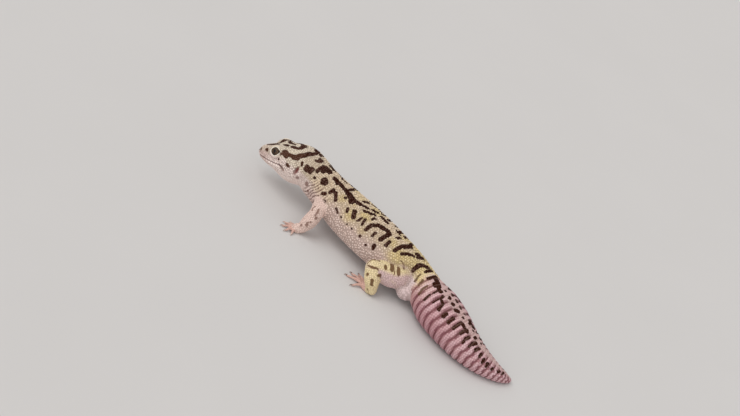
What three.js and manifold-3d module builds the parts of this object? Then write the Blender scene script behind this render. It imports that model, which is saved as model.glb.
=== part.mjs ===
// A leopard gecko, life size, standing on the floor with its head raised and turned a little.
// Millimetres, +Z up. The head points to -X, the gecko's left side to -Y, the floor is z = 0.
import * as THREE from 'three';
import { mergeVertices } from 'three/addons/utils/BufferGeometryUtils.js';
import Module from 'manifold-3d';

const wasm = await Module();
wasm.setup();

// ---------------------------------------------------------------- driving sizes
const GAP = 0.3; // width of the cut between two neighbouring nodes
const FLAT = 0.3; // how far soles and tail are let into the floor to give small flats
const AROUND = 22; // points round the body
const TAIL_AROUND = 16;
const LIMB_AROUND = 8;
const DIGIT_AROUND = 5;
const HEAD_RINGS = 1.75; // rings of points for each row of a table
const TRUNK_RINGS = 2.3;
const LIMB_RINGS = 1.5;
const JOINT_INSET = 0.3; // the next length of a limb starts this share of it inside the joint's ball
const FLOOR_SIZE = 400; // block that the underside is trimmed with

// The head is laid out on its own axis, which runs back from the tip of the snout.
const SNOUT = [-70.8, -6.8, 12.4];
const HEAD_PITCH = 19; // nose down, degrees
const HEAD_YAW = 13; // nose towards the left side
const HEAD_ROLL = -1; // crown away from the left side

// distance behind the snout, half width, height above and depth below the axis,
// squareness of the section (2 is an ellipse), and how much narrower it is above than below
const HEAD_ROWS = [
  [0.0, 0.7, 0.8, 0.8, 2.0, 0.0],
  [1.2, 2.7, 2.9, 2.6, 2.2, 0.0],
  [3.6, 4.3, 4.5, 4.1, 2.3, 0.02],
  [7.2, 5.9, 5.8, 5.5, 2.4, 0.06],
  [11.5, 7.6, 7.1, 6.9, 2.4, 0.1],
  [16.5, 9.6, 8.4, 9.3, 2.5, 0.12],
  [21.5, 11.3, 8.9, 10.6, 2.5, 0.12],
  [26.5, 10.7, 8.8, 11.3, 2.4, 0.08],
];

// x, y, z of the spine, then the same five section sizes
const TRUNK_ROWS = [
  [-40.6, -0.8, 21.4, 8.9, 8.0, 11.8, 2.2, 0.02], // nape
  [-33.4, 0.0, 19.4, 9.1, 7.9, 12.7, 2.1, 0.0], // neck
  [-23.2, 0.0, 17.0, 11.9, 8.5, 11.0, 2.2, 0.0], // shoulders
  [-11.0, 0.0, 15.6, 14.2, 9.2, 11.0, 2.2, 0.04],
  [5.0, 0.0, 14.6, 15.0, 9.4, 10.9, 2.2, 0.05], // belly
  [20.0, 0.0, 13.6, 13.8, 9.2, 10.3, 2.2, 0.03],
  [31.0, 0.0, 13.0, 11.6, 9.2, 9.6, 2.1, 0.0], // hips
  [39.0, -0.6, 12.2, 9.9, 9.0, 9.4, 2.0, 0.0], // vent
  [46.0, -2.6, 11.8, 9.4, 9.4, 9.8, 2.0, 0.0], // root of the tail
];

// x and y of the tail's axis, half width, height above and depth below; it lies on the floor
const TAIL_ROWS = [
  [56.0, -5.6, 11.8, 11.0, 11.3],
  [67.0, -8.8, 11.5, 10.7, 10.7],
  [78.0, -10.6, 9.6, 9.0, 9.2],
  [88.0, -9.8, 7.4, 7.0, 7.3],
  [97.0, -6.2, 5.2, 4.8, 5.1],
  [103.0, -1.6, 3.2, 2.9, 3.2],
  [106.4, 3.2, 0.9, 0.9, 1.3],
];

// Whorls of the tail, counted from the vent
const WHORLS = 22;
const WHORL_SHRINK = 0.965; // length of a whorl against the one before it
const WHORL_RELIEF = 0.022; // depth of a groove, as a share of the tail's radius
const WHORL_CREST = 0.6; // where a whorl is fullest, as a share of its length
// nodes of the tail, with their first whorl and the one after their last
const TAIL_PARTS = [
  ['tail_base', 0, 5],
  ['tail_thick', 5, 10],
  ['tail_slim', 10, 16],
  ['tail_tip', 16, WHORLS],
];

// Row numbers where the body is parted into nodes
const NAPE = 7.6;
const CHEST = 9.6;
const LOIN = 12.4;
const VENT = 15.3;

const EYE = { back: 12.2, side: 5.4, above: 4.4, radius: 3.3 };
const BROW = { back: 13.2, side: 4.7, above: 4.4, along: 6.0, across: 3.6, high: 3.9 };
const EAR = { back: 26.0, side: 10.6, above: -0.2, along: 0.9, deep: 1.6, high: 2.0 };
const NOSTRIL = { back: 1.6, side: 2.6, above: 2.0, radius: 0.5 };
// swellings under the root of the tail, one on each side: row number of the middle, degrees round
// from the spine, distance from the body's axis, and radii along, round and out from the body
const BULGE = { row: 15.2, turn: 122, from: 8.0, along: 5.6, round: 5.0, out: 5.5 };
// mouth line on the side of the head: distance behind the snout, height over the axis
const MOUTH = [
  [-2.0, -0.8],
  [3.0, -1.0],
  [8.0, -1.1],
  [12.5, -0.9],
  [15.6, -0.4],
  [18.0, -1.4],
  [20.5, -2.1],
];
const JAW_BACK = 21.1; // rear end of the lower jaw's node
const HEAD_REACH = 16; // more than the head measures from its axis, any way across

// Limbs: places of the joints, with the radius there, and the way the foot points
const LEFT_ARM = {
  root: [-24.5, -7.5, 15.0, 4.8],
  bend: [-20.6, -17.0, 12.8, 3.8],
  shaft: [-21.2, -19.2, 7.6, 3.9],
  ankle: [-22.4, -20.8, 3.0, 2.8],
  palm: [-24.8, -22.6, 1.2, 2.8],
  heading: 218,
};
const RIGHT_ARM = {
  root: [-24.5, 7.5, 15.0, 4.8],
  bend: [-21.6, 16.6, 11.4, 3.8],
  shaft: [-24.6, 18.6, 7.0, 3.8],
  ankle: [-27.6, 19.8, 3.0, 2.7],
  palm: [-30.2, 21.2, 1.2, 2.8],
  heading: 150,
};
const LEFT_LEG = {
  root: [33.0, -6.0, 13.0, 6.6],
  haunch: [29.0, -11.0, 11.0, 6.4],
  bend: [21.6, -18.8, 12.6, 4.4],
  shaft: [24.6, -20.4, 7.8, 4.2],
  ankle: [27.2, -20.6, 3.0, 2.8],
  palm: [22.6, -19.2, 1.4, 3.0],
  heading: 172,
};
const RIGHT_LEG = {
  root: [33.0, 6.0, 13.0, 6.6],
  haunch: [29.6, 10.6, 10.6, 6.4],
  bend: [23.6, 17.4, 9.6, 4.4],
  shaft: [28.0, 19.4, 6.2, 4.0],
  ankle: [31.6, 20.2, 3.0, 2.8],
  palm: [27.4, 20.8, 1.4, 3.0],
  heading: 166,
};

// Digits, inner to outer: angle from the foot's heading, length from the palm's centre
const FINGERS = [
  [-62, 4.6],
  [-28, 5.8],
  [4, 6.4],
  [36, 6.0],
  [72, 4.8],
];
const TOES = [
  [-52, 6.4],
  [-22, 8.6],
  [2, 10.0],
  [24, 10.6],
  [66, 7.4],
];
// radii of a digit, where its root and middle joint are as shares of its length, and their height
const DIGIT = { root: 1.15, middle: 0.85, tip: 0.7, start: 0.2, joint: 0.62, arch: 1.5 };
// length and radii of a claw, where it bends as a share of its length, and the height of its point
const CLAW = { length: 1.3, root: 0.34, middle: 0.27, point: 0.09, bend: 0.55, low: 0.2 };

// ---------------------------------------------------------------- materials
const skin = new THREE.MeshStandardMaterial({ color: 0xd9cfc0, roughness: 0.7, metalness: 0 });
const tailSkin = new THREE.MeshStandardMaterial({ color: 0xcfa9b4, roughness: 0.65, metalness: 0 });
const legSkin = new THREE.MeshStandardMaterial({ color: 0xd8c07e, roughness: 0.7, metalness: 0 });
const eyeball = new THREE.MeshStandardMaterial({ color: 0x3a3226, roughness: 0.1, metalness: 0 });
const horn = new THREE.MeshStandardMaterial({ color: 0xc9a890, roughness: 0.4, metalness: 0 });

// ---------------------------------------------------------------- small helpers
const radians = THREE.MathUtils.degToRad;
const vec = (p) => new THREE.Vector3(p[0], p[1], p[2]);
const power = (v, e) => Math.sign(v) * Math.abs(v) ** e;
const UPRIGHT = new THREE.Vector3(0, 0, 1);

// value of a table of rows at a fractional row number, on a Catmull-Rom curve
function along(rows, t) {
  const last = rows.length - 1;
  const i = Math.min(Math.max(Math.floor(t), 0), last - 1);
  const f = t - i;
  const a = rows[i];
  const b = rows[i + 1];
  return a.map((value, k) => {
    const before = i > 0 ? rows[i - 1][k] : 2 * value - b[k];
    const after = i + 2 <= last ? rows[i + 2][k] : 2 * b[k] - value;
    const m0 = (b[k] - before) / 2;
    const m1 = (after - value) / 2;
    return value + f * (m0 + f * (3 * (b[k] - value) - 2 * m0 - m1
      + f * (m0 + m1 - 2 * (b[k] - value))));
  });
}

// directions of the head: back from the snout, towards the left side, and up
function headAxes() {
  const turn = new THREE.Matrix4().makeRotationZ(radians(HEAD_YAW));
  turn.multiply(new THREE.Matrix4().makeRotationY(radians(-HEAD_PITCH)));
  turn.multiply(new THREE.Matrix4().makeRotationX(radians(HEAD_ROLL)));
  const back = new THREE.Vector3(1, 0, 0).applyMatrix4(turn);
  const left = new THREE.Vector3(0, -1, 0).applyMatrix4(turn);
  const up = new THREE.Vector3(0, 0, 1).applyMatrix4(turn);
  return { back, left, up };
}
const HEAD = headAxes();

// point of the head from its distance behind the snout, to the left, and above the axis
function headPoint(back, left, above) {
  return vec(SNOUT)
    .addScaledVector(HEAD.back, back)
    .addScaledVector(HEAD.left, left)
    .addScaledVector(HEAD.up, above);
}

// all rows of the body: x, y, z, roll, half width, above, below, squareness, lean
function bodyRows() {
  const head = HEAD_ROWS.map(([back, ...sizes]) => {
    return [...headPoint(back, 0, 0).toArray(), HEAD_ROLL, ...sizes];
  });
  const trunk = TRUNK_ROWS.map(([x, y, z, ...sizes]) => [x, y, z, 0, ...sizes]);
  const tail = TAIL_ROWS.map(([x, y, wide, above, below]) => {
    return [x, y, below - FLAT, 0, wide, above, below, 2.0, 0];
  });
  return [...head, ...trunk, ...tail];
}
const BODY = bodyRows();
const LAST = BODY.length - 1;

// centre, course, left and up directions and section sizes of the body at a row number
function bodyFrame(t) {
  const step = 0.01;
  const here = along(BODY, t);
  const tangent = vec(along(BODY, Math.min(t + step, LAST)))
    .sub(vec(along(BODY, Math.max(t - step, 0))))
    .normalize();
  const left = tangent.clone().cross(UPRIGHT).normalize().applyAxisAngle(tangent, radians(here[3]));
  const up = left.clone().cross(tangent).normalize();
  return { centre: vec(here), tangent, left, up, sizes: here.slice(4) };
}

// one ring of points round the body; grow widens it evenly, scale in proportion
function bodyRing(t, around = AROUND, grow = 0, scale = 1) {
  const { centre, left, up, sizes } = bodyFrame(t);
  const [wide, above, below, square, lean] = sizes;
  const ring = [];
  for (let k = 0; k < around; k += 1) {
    const angle = (2 * Math.PI * k) / around;
    const side = power(Math.sin(angle), 2 / square);
    const high = power(Math.cos(angle), 2 / square);
    const out = (wide * scale * (1 - lean * high) + grow) * side;
    const rise = (high > 0 ? above * scale + grow : below * scale + grow) * high;
    ring.push(centre.clone().addScaledVector(left, out).addScaledVector(up, rise));
  }
  return ring;
}

// closed body through rings of points, with a flat end at each end
function loft(rings) {
  const around = rings[0].length;
  const points = rings.flat();
  const triangles = [];
  for (let r = 0; r + 1 < rings.length; r += 1) {
    for (let k = 0; k < around; k += 1) {
      const next = (k + 1) % around;
      const a = r * around + k;
      const b = r * around + next;
      triangles.push([a, b, a + around], [b, b + around, a + around]);
    }
  }
  for (const [r, turn] of [[0, true], [rings.length - 1, false]]) {
    const middle = new THREE.Vector3();
    rings[r].forEach((p) => middle.add(p));
    points.push(middle.divideScalar(around));
    for (let k = 0; k < around; k += 1) {
      const a = r * around + k;
      const b = r * around + ((k + 1) % around);
      triangles.push(turn ? [b, a, points.length - 1] : [a, b, points.length - 1]);
    }
  }
  const geometry = new THREE.BufferGeometry().setFromPoints(points);
  geometry.setIndex(triangles.flat());
  return geometry;
}

// closed geometry to a solid that can be joined and cut, and back
function solid(geometry) {
  const bare = geometry.clone();
  bare.deleteAttribute('normal');
  bare.deleteAttribute('uv');
  const merged = mergeVertices(bare, 1e-4);
  const mesh = new wasm.Mesh({
    numProp: 3,
    vertProperties: new Float32Array(merged.getAttribute('position').array),
    triVerts: new Uint32Array(merged.getIndex().array),
  });
  return new wasm.Manifold(mesh);
}

function geometryOf(body) {
  const mesh = body.getMesh();
  const geometry = new THREE.BufferGeometry();
  geometry.setAttribute('position', new THREE.BufferAttribute(mesh.vertProperties, 3));
  geometry.setIndex(new THREE.BufferAttribute(mesh.triVerts, 1));
  return geometry;
}

// ball with its radii along three directions, its poles at the ends of the second
function ovalBall(centre, directions, radii, grow, detail) {
  const [first, second, third] = directions.map((way, i) => way.clone().multiplyScalar(radii[i] + grow));
  const axes = new THREE.Matrix4().makeBasis(first, second, third).setPosition(centre);
  return solid(new THREE.SphereGeometry(1, detail, detail / 2).applyMatrix4(axes));
}

// ball with its radii along the head's own axes, its poles at the sides
function headBall(place, radii, grow = 0, detail = 12) {
  const directions = [HEAD.back, HEAD.left.clone().negate(), HEAD.up];
  return ovalBall(headPoint(...place), directions, radii, grow, detail);
}

const gecko = new THREE.Group();

function addNode(name, geometry, material) {
  const mesh = new THREE.Mesh(geometry, material);
  mesh.name = name;
  gecko.add(mesh);
}

// ---------------------------------------------------------------- distances along the body
const TRACE_STEP = 0.02;
const TRACE = [[0, 0]];
for (let t = TRACE_STEP; t <= LAST + 1e-9; t += TRACE_STEP) {
  const [row, reached] = TRACE[TRACE.length - 1];
  TRACE.push([t, reached + vec(along(BODY, t)).distanceTo(vec(along(BODY, row)))]);
}

// row number a given distance behind the snout, and the reverse
function rowAt(distance) {
  const i = TRACE.findIndex((entry) => entry[1] >= distance);
  if (i < 1) {
    return i === 0 ? 0 : LAST;
  }
  const [a, da] = TRACE[i - 1];
  const [b, db] = TRACE[i];
  return a + ((b - a) * (distance - da)) / (db - da);
}

function distanceOf(t) {
  const i = Math.min(Math.floor(t / TRACE_STEP), TRACE.length - 2);
  const [a, da] = TRACE[i];
  const [b, db] = TRACE[i + 1];
  return da + ((db - da) * (t - a)) / (b - a);
}

// ---------------------------------------------------------------- head, neck and trunk
// rings of a length of the body, half a gap short of both of its cuts
function bodyRings(from, to, perRow, grow = 0) {
  const start = from > 0 ? rowAt(distanceOf(from) + GAP / 2) : 0;
  const end = to < LAST ? rowAt(distanceOf(to) - GAP / 2) : LAST;
  const steps = Math.ceil((end - start) * perRow);
  const rings = [];
  for (let i = 0; i <= steps; i += 1) {
    rings.push(bodyRing(start + ((end - start) * i) / steps, AROUND, grow));
  }
  return rings;
}

// space under and in front of the mouth line, as wide as the head; lift opens the cut
function jawSpace(lift) {
  const outline = MOUTH.map(([back, above]) => new THREE.Vector2(back, above + lift));
  outline.push(new THREE.Vector2(JAW_BACK + lift, -HEAD_REACH));
  outline.push(new THREE.Vector2(MOUTH[0][0], -HEAD_REACH));
  const block = new THREE.ExtrudeGeometry(new THREE.Shape(outline), {
    depth: 2 * HEAD_REACH,
    bevelEnabled: false,
  });
  // the outline's x runs back, its y up and the extrusion to the left side
  const place = new THREE.Matrix4().makeBasis(HEAD.back, HEAD.up, HEAD.left);
  place.setPosition(headPoint(0, -HEAD_REACH, 0));
  return solid(block.applyMatrix4(place));
}

function buildHead() {
  let head = solid(loft(bodyRings(0, NAPE, HEAD_RINGS)));
  for (const side of [1, -1]) {
    const brow = [BROW.back, side * BROW.side, BROW.above];
    head = head.add(headBall(brow, [BROW.along, BROW.across, BROW.high]));
  }
  for (const [side, name] of [[1, 'left'], [-1, 'right']]) {
    const eye = [EYE.back, side * EYE.side, EYE.above];
    head = head.subtract(headBall(eye, [0, 0, 0], EYE.radius + GAP));
    addNode(`eye_${name}`, geometryOf(headBall(eye, [0, 0, 0], EYE.radius, 14)), eyeball);
    const ear = [EAR.back, side * EAR.side, EAR.above];
    head = head.subtract(headBall(ear, [EAR.along, EAR.deep, EAR.high], 0, 8));
    const nostril = [NOSTRIL.back, side * NOSTRIL.side, NOSTRIL.above];
    head = head.subtract(headBall(nostril, [0, 0, 0], NOSTRIL.radius, 6));
  }
  addNode('head', geometryOf(head.subtract(jawSpace(GAP))), skin);
  addNode('jaw', geometryOf(head.intersect(jawSpace(0))), skin);
}

// the two swellings under the root of the tail
function bulges(grow) {
  const { centre, tangent, left, up } = bodyFrame(BULGE.row);
  const [first, second] = [1, -1].map((side) => {
    const turn = radians(side * BULGE.turn);
    const out = left.clone().multiplyScalar(Math.sin(turn)).addScaledVector(up, Math.cos(turn));
    const middle = centre.clone().addScaledVector(out, BULGE.from);
    const directions = [tangent, out.clone().cross(tangent), out];
    return ovalBall(middle, directions, [BULGE.along, BULGE.round, BULGE.out], grow, 10);
  });
  return first.add(second);
}

// everything behind a place a given distance after the cut at the vent
function behindVent(distance) {
  const { centre, tangent, up } = bodyFrame(rowAt(distanceOf(VENT) + distance));
  const block = new THREE.BoxGeometry(FLOOR_SIZE, FLOOR_SIZE, FLOOR_SIZE);
  block.translate(FLOOR_SIZE / 2, 0, 0);
  const place = new THREE.Matrix4().makeBasis(tangent, up.clone().cross(tangent), up);
  return solid(block.applyMatrix4(place.setPosition(centre)));
}

function buildTrunk() {
  addNode('neck', loft(bodyRings(NAPE, CHEST, TRUNK_RINGS)), skin);
  addNode('trunk_front', loft(bodyRings(CHEST, LOIN, TRUNK_RINGS)), skin);
  const rear = solid(loft(bodyRings(LOIN, VENT, TRUNK_RINGS)));
  const swollen = rear.add(bulges(0).subtract(behindVent(-GAP / 2)));
  addNode('trunk_rear', geometryOf(swollen), skin);
}

// ---------------------------------------------------------------- tail
// everything below the floor
const below = new THREE.BoxGeometry(FLOOR_SIZE, FLOOR_SIZE, FLOOR_SIZE);
const floor = solid(below.translate(0, 0, -FLOOR_SIZE / 2));

function buildTail() {
  const start = distanceOf(VENT);
  const length = distanceOf(LAST) - start;
  const first = (length * (1 - WHORL_SHRINK)) / (1 - WHORL_SHRINK ** WHORLS);
  const grooves = [start];
  for (let k = 0; k < WHORLS; k += 1) {
    grooves.push(grooves[k] + first * WHORL_SHRINK ** k);
  }
  for (const [name, from, to] of TAIL_PARTS) {
    const rings = [];
    for (let k = from; k < to; k += 1) {
      const span = grooves[k + 1] - grooves[k];
      rings.push(bodyRing(rowAt(grooves[k] + GAP / 2), TAIL_AROUND, 0, 1 - WHORL_RELIEF));
      rings.push(bodyRing(rowAt(grooves[k] + WHORL_CREST * span), TAIL_AROUND, 0, 1 + WHORL_RELIEF / 2));
      if (k === WHORLS - 1) {
        rings.push(bodyRing(LAST, TAIL_AROUND));
      }
    }
    if (to < WHORLS) {
      rings.push(bodyRing(rowAt(grooves[to] - GAP / 2), TAIL_AROUND, 0, 1 - WHORL_RELIEF));
    }
    let part = solid(loft(rings));
    if (from === 0) {
      part = part.add(bulges(0).intersect(behindVent(GAP / 2)));
    }
    addNode(name, geometryOf(part.subtract(floor)), tailSkin);
  }
}

// ---------------------------------------------------------------- limbs
function roundRing(centre, tangent, radius, around) {
  const level = tangent.clone().cross(UPRIGHT).normalize();
  const up = level.clone().cross(tangent).normalize();
  const ring = [];
  for (let k = 0; k < around; k += 1) {
    const angle = (2 * Math.PI * k) / around;
    ring.push(centre.clone()
      .addScaledVector(level, radius * Math.sin(angle))
      .addScaledVector(up, radius * Math.cos(angle)));
  }
  return ring;
}

// round tapering length between two row numbers of a table of x, y, z, radius
function taper(rows, from, to, perRow, around) {
  const steps = Math.ceil((to - from) * perRow);
  const rings = [];
  for (let i = 0; i <= steps; i += 1) {
    const t = from + ((to - from) * i) / steps;
    const here = along(rows, t);
    const tangent = vec(along(rows, Math.min(t + 0.02, rows.length - 1)))
      .sub(vec(along(rows, Math.max(t - 0.02, 0))))
      .normalize();
    rings.push(roundRing(vec(here), tangent, here[3], around));
  }
  return solid(loft(rings));
}

function ball(place, radius) {
  const geometry = new THREE.SphereGeometry(radius, 8, 5).translate(...place);
  return solid(geometry);
}

// a limb in three nodes and five claws; side is 1 where the digits' angles turn to the left
function buildLimb(name, joints, digits, side, names) {
  const widen = (rows, extra) => rows.map(([x, y, z, r]) => [x, y, z, r + extra]);
  const upperRows = joints.haunch ? [joints.root, joints.haunch, joints.bend] : [joints.root, joints.bend];
  const lowerRows = [joints.bend, joints.shaft, joints.ankle];
  const ankleRows = [joints.ankle, joints.palm];
  const bendPlace = joints.bend.slice(0, 3);
  const anklePlace = joints.ankle.slice(0, 3);
  const upper = (extra) => taper(widen(upperRows, extra), 0, upperRows.length - 1, LIMB_RINGS, LIMB_AROUND)
    .add(ball(bendPlace, joints.bend[3] + extra));
  const lower = (extra) => taper(widen(lowerRows, extra), JOINT_INSET, 2, LIMB_RINGS, LIMB_AROUND)
    .add(ball(anklePlace, joints.ankle[3] + extra));
  addNode(`${names[0]}_${name}`, geometryOf(upper(0).subtract(hollow)), legSkin);
  const lowerPart = lower(0).subtract(upper(GAP)).subtract(hollow).subtract(floor);
  addNode(`${names[1]}_${name}`, geometryOf(lowerPart), legSkin);

  const palm = vec(joints.palm);
  let foot = taper(ankleRows, JOINT_INSET, 1, LIMB_RINGS, LIMB_AROUND);
  const pad = new THREE.SphereGeometry(1, 8, 5);
  pad.scale(joints.palm[3], joints.palm[3], joints.palm[2] + FLAT);
  pad.translate(palm.x, palm.y, palm.z);
  foot = foot.add(solid(pad));
  digits.forEach(([angle, length], i) => {
    const course = radians(joints.heading + side * angle);
    const ahead = new THREE.Vector3(Math.cos(course), Math.sin(course), 0);
    const spot = (share, height) => {
      const p = palm.clone().addScaledVector(ahead, share * length).setZ(height);
      return p.toArray();
    };
    const bones = [
      [...spot(DIGIT.start, palm.z), DIGIT.root],
      [...spot(DIGIT.joint, DIGIT.arch), DIGIT.middle],
      [...spot(1, DIGIT.tip - FLAT / 2), DIGIT.tip],
    ];
    foot = foot.add(taper(bones, 0, 2, 1, DIGIT_AROUND));
    const tip = vec(spot(1, DIGIT.tip)).addScaledVector(ahead, GAP);
    const end = tip.clone().addScaledVector(ahead, CLAW.length).setZ(CLAW.low);
    const sting = [
      [...tip.toArray(), CLAW.root],
      [...tip.clone().lerp(end, CLAW.bend).setZ(DIGIT.tip).toArray(), CLAW.middle],
      [...end.toArray(), CLAW.point],
    ];
    addNode(`claw_${name}_${i + 1}`, geometryOf(taper(sting, 0, 2, 1, DIGIT_AROUND)), horn);
  });
  foot = foot.subtract(lower(GAP)).subtract(floor);
  addNode(`${names[2]}_${name}`, geometryOf(foot), legSkin);
}

// ---------------------------------------------------------------- the animal
buildHead();
buildTrunk();
buildTail();
// room that the trunk takes out of the limbs, a gap wider than the trunk itself
const hollow = solid(loft(bodyRings(NAPE, VENT + 1, TRUNK_RINGS, GAP))).add(bulges(GAP));
buildLimb('front_left', LEFT_ARM, FINGERS, 1, ['upper_arm', 'forearm', 'hand']);
buildLimb('front_right', RIGHT_ARM, FINGERS, -1, ['upper_arm', 'forearm', 'hand']);
buildLimb('rear_left', LEFT_LEG, TOES, 1, ['thigh', 'shank', 'foot']);
buildLimb('rear_right', RIGHT_LEG, TOES, -1, ['thigh', 'shank', 'foot']);

// the origin is on the floor, under the middle of the animal's box
const middle = new THREE.Box3().setFromObject(gecko).getCenter(new THREE.Vector3());
gecko.position.set(-middle.x, -middle.y, 0);

export default gecko;
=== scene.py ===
"""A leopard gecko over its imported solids: one skin with lids and folds, a coat of tubercles and
scales, wet eyes and claws, on a plain pale floor under soft studio light."""

import math

import bpy
import numpy as np
from mathutils import Matrix, Vector
from mathutils.bvhtree import BVHTree
from mathutils.kdtree import KDTree


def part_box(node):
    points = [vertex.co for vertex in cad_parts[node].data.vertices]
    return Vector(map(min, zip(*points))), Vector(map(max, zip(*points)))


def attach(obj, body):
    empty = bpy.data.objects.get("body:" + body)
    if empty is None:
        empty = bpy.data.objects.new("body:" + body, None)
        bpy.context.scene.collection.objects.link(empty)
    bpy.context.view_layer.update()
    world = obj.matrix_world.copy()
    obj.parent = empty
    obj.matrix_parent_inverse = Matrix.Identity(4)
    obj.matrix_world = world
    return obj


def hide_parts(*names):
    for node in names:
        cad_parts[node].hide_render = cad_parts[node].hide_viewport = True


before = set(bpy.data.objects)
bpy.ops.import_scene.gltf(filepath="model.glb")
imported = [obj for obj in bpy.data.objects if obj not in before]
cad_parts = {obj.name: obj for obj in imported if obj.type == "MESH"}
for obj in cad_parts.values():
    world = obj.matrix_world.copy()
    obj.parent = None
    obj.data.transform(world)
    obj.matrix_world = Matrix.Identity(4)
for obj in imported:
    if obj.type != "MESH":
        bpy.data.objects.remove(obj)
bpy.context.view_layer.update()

# ==== sizes ===========================================================================
# Shapes are laid out in millimetres. The head points to -X and the gecko's left side to -Y.
MM = 0.001
FLAT = 0.3  # how far soles and tail are let into the floor

SNOUT = (-70.8, -6.8, 12.4)
HEAD_PITCH = 19
HEAD_YAW = 13
HEAD_ROLL = -1

# distance behind the snout, half width, height above and depth below the axis,
# squareness of the section, and how much narrower it is above than below
HEAD_ROWS = (
    (0.0, 0.7, 0.8, 0.8, 2.0, 0.0),
    (1.2, 2.7, 2.9, 2.6, 2.2, 0.0),
    (3.6, 4.3, 4.5, 4.1, 2.3, 0.02),
    (7.2, 5.9, 5.8, 5.5, 2.4, 0.06),
    (11.5, 7.6, 7.1, 6.9, 2.4, 0.1),
    (16.5, 9.6, 8.4, 9.3, 2.5, 0.12),
    (21.5, 11.3, 8.9, 10.6, 2.5, 0.12),
    (26.5, 10.7, 8.8, 11.3, 2.4, 0.08),
)

# x, y, z of the spine, then the same five section sizes
TRUNK_ROWS = (
    (-40.6, -0.8, 21.4, 8.9, 8.0, 11.8, 2.2, 0.02),  # nape
    (-33.4, 0.0, 19.4, 9.1, 7.9, 12.7, 2.1, 0.0),  # neck
    (-23.2, 0.0, 17.0, 11.9, 8.5, 11.0, 2.2, 0.0),  # shoulders
    (-11.0, 0.0, 15.6, 14.2, 9.2, 11.0, 2.2, 0.04),
    (5.0, 0.0, 14.6, 15.0, 9.4, 10.9, 2.2, 0.05),  # belly
    (20.0, 0.0, 13.6, 13.8, 9.2, 10.3, 2.2, 0.03),
    (31.0, 0.0, 13.0, 11.6, 9.2, 9.6, 2.1, 0.0),  # hips
    (39.0, -0.6, 12.2, 9.9, 9.0, 9.4, 2.0, 0.0),  # vent
    (46.0, -2.6, 11.8, 9.4, 9.4, 9.8, 2.0, 0.0),  # root of the tail
)

# x and y of the tail's axis, half width, height above and depth below
TAIL_ROWS = (
    (56.0, -5.6, 11.8, 11.0, 11.3),
    (67.0, -8.8, 11.5, 10.7, 10.7),
    (78.0, -10.6, 9.6, 9.0, 9.2),
    (88.0, -9.8, 7.4, 7.0, 7.3),
    (97.0, -6.2, 5.2, 4.8, 5.1),
    (103.0, -1.6, 3.2, 2.9, 3.2),
    (106.4, 3.2, 0.9, 0.9, 1.3),
)
VENT = 15.3  # row number where the tail begins
WHORLS = 22
WHORL_SHRINK = 0.965

EYE = {"back": 12.2, "side": 5.4, "above": 4.4, "radius": 3.3}
BROW = {"back": 13.2, "side": 4.7, "above": 4.4, "along": 6.0, "across": 3.6, "high": 3.9}
# middle of an ear pit, its radii along, out from and up the head, and how far its top leans back
EAR = {"back": 26.0, "side": 10.6, "above": -0.2, "along": 0.85, "out": 3.0, "high": 1.9, "lean": 0.35}
EAR_PIT = {"deep": 1.4, "share": 0.95, "steep": 4}
NOSTRIL = {"back": 1.6, "side": 2.6, "above": 2.0, "radius": 0.5, "deep": 0.5}
NOSTRIL_RIM = {"radius": 0.95, "wide": 0.35, "high": 0.18}
# swellings under the root of the tail: row number of the middle, degrees round from the spine,
# distance from the body's axis, and radii along, round and out from the body
BULGE = {"row": 15.2, "turn": 122, "from": 8.0, "along": 5.6, "round": 5.0, "out": 5.5}
# distance behind the snout and height above the head's axis
MOUTH = ((-2.0, -0.8), (3.0, -1.0), (8.0, -1.1), (12.5, -0.9), (15.6, -0.4), (18.0, -1.4), (20.5, -2.1))
MOUTH_END = (17.0, 19.5)  # where the mouth's line fades out
# folds and grooves of the skin, in millimetres behind the snout and degrees round from the spine
MOUTH_GROOVE = {"deep": 0.55, "wide": 0.42, "lip": 0.12, "lip_above": 1.1, "lip_wide": 0.6}
WHORL_GROOVE = {"deepest": 0.42, "deep": 0.12, "wide": 0.11, "edge": 0.08, "swell": 0.035}
FLANK_FOLD = {"turn": 112, "wide": 9, "out": 0.3, "start": (54, 62), "end": (92, 100)}
NECK_CREASE = {"step": 1.7, "wide": 0.17, "deep": 0.24, "start": (35, 39), "end": (50, 54), "side": (58, 72)}
# flat scales begin at these degrees round, before and behind the vent's pouch
LOW_SCALES = {"pouch": 103, "belly": 119, "vent": 56}
# where the tail's relief, smoothness, swelling plates and grooves set in, behind the snout
TAIL_START = {"relief": (116, 122), "smooth": (116, 120), "swell": (117, 122), "groove": (118, 120)}
# differences of height over body and limb across which one gives way to the other
BODY_EDGE = (-0.5, 1.0)
LIMB_EDGE = (-0.6, 0.9)
# the pink under the legs: share of the radius below the middle, and distance from the root
UNDER_LEG = {"sink": (-0.74, -0.45), "reach": (15, 19)}
# widths over which the colours of small features fade out, the groove's as a share of its whorl
FADE = {"groove": 0.19, "mouth": 0.4, "join": 1.0, "ear": 1.12, "nostril": 0.55}

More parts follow.
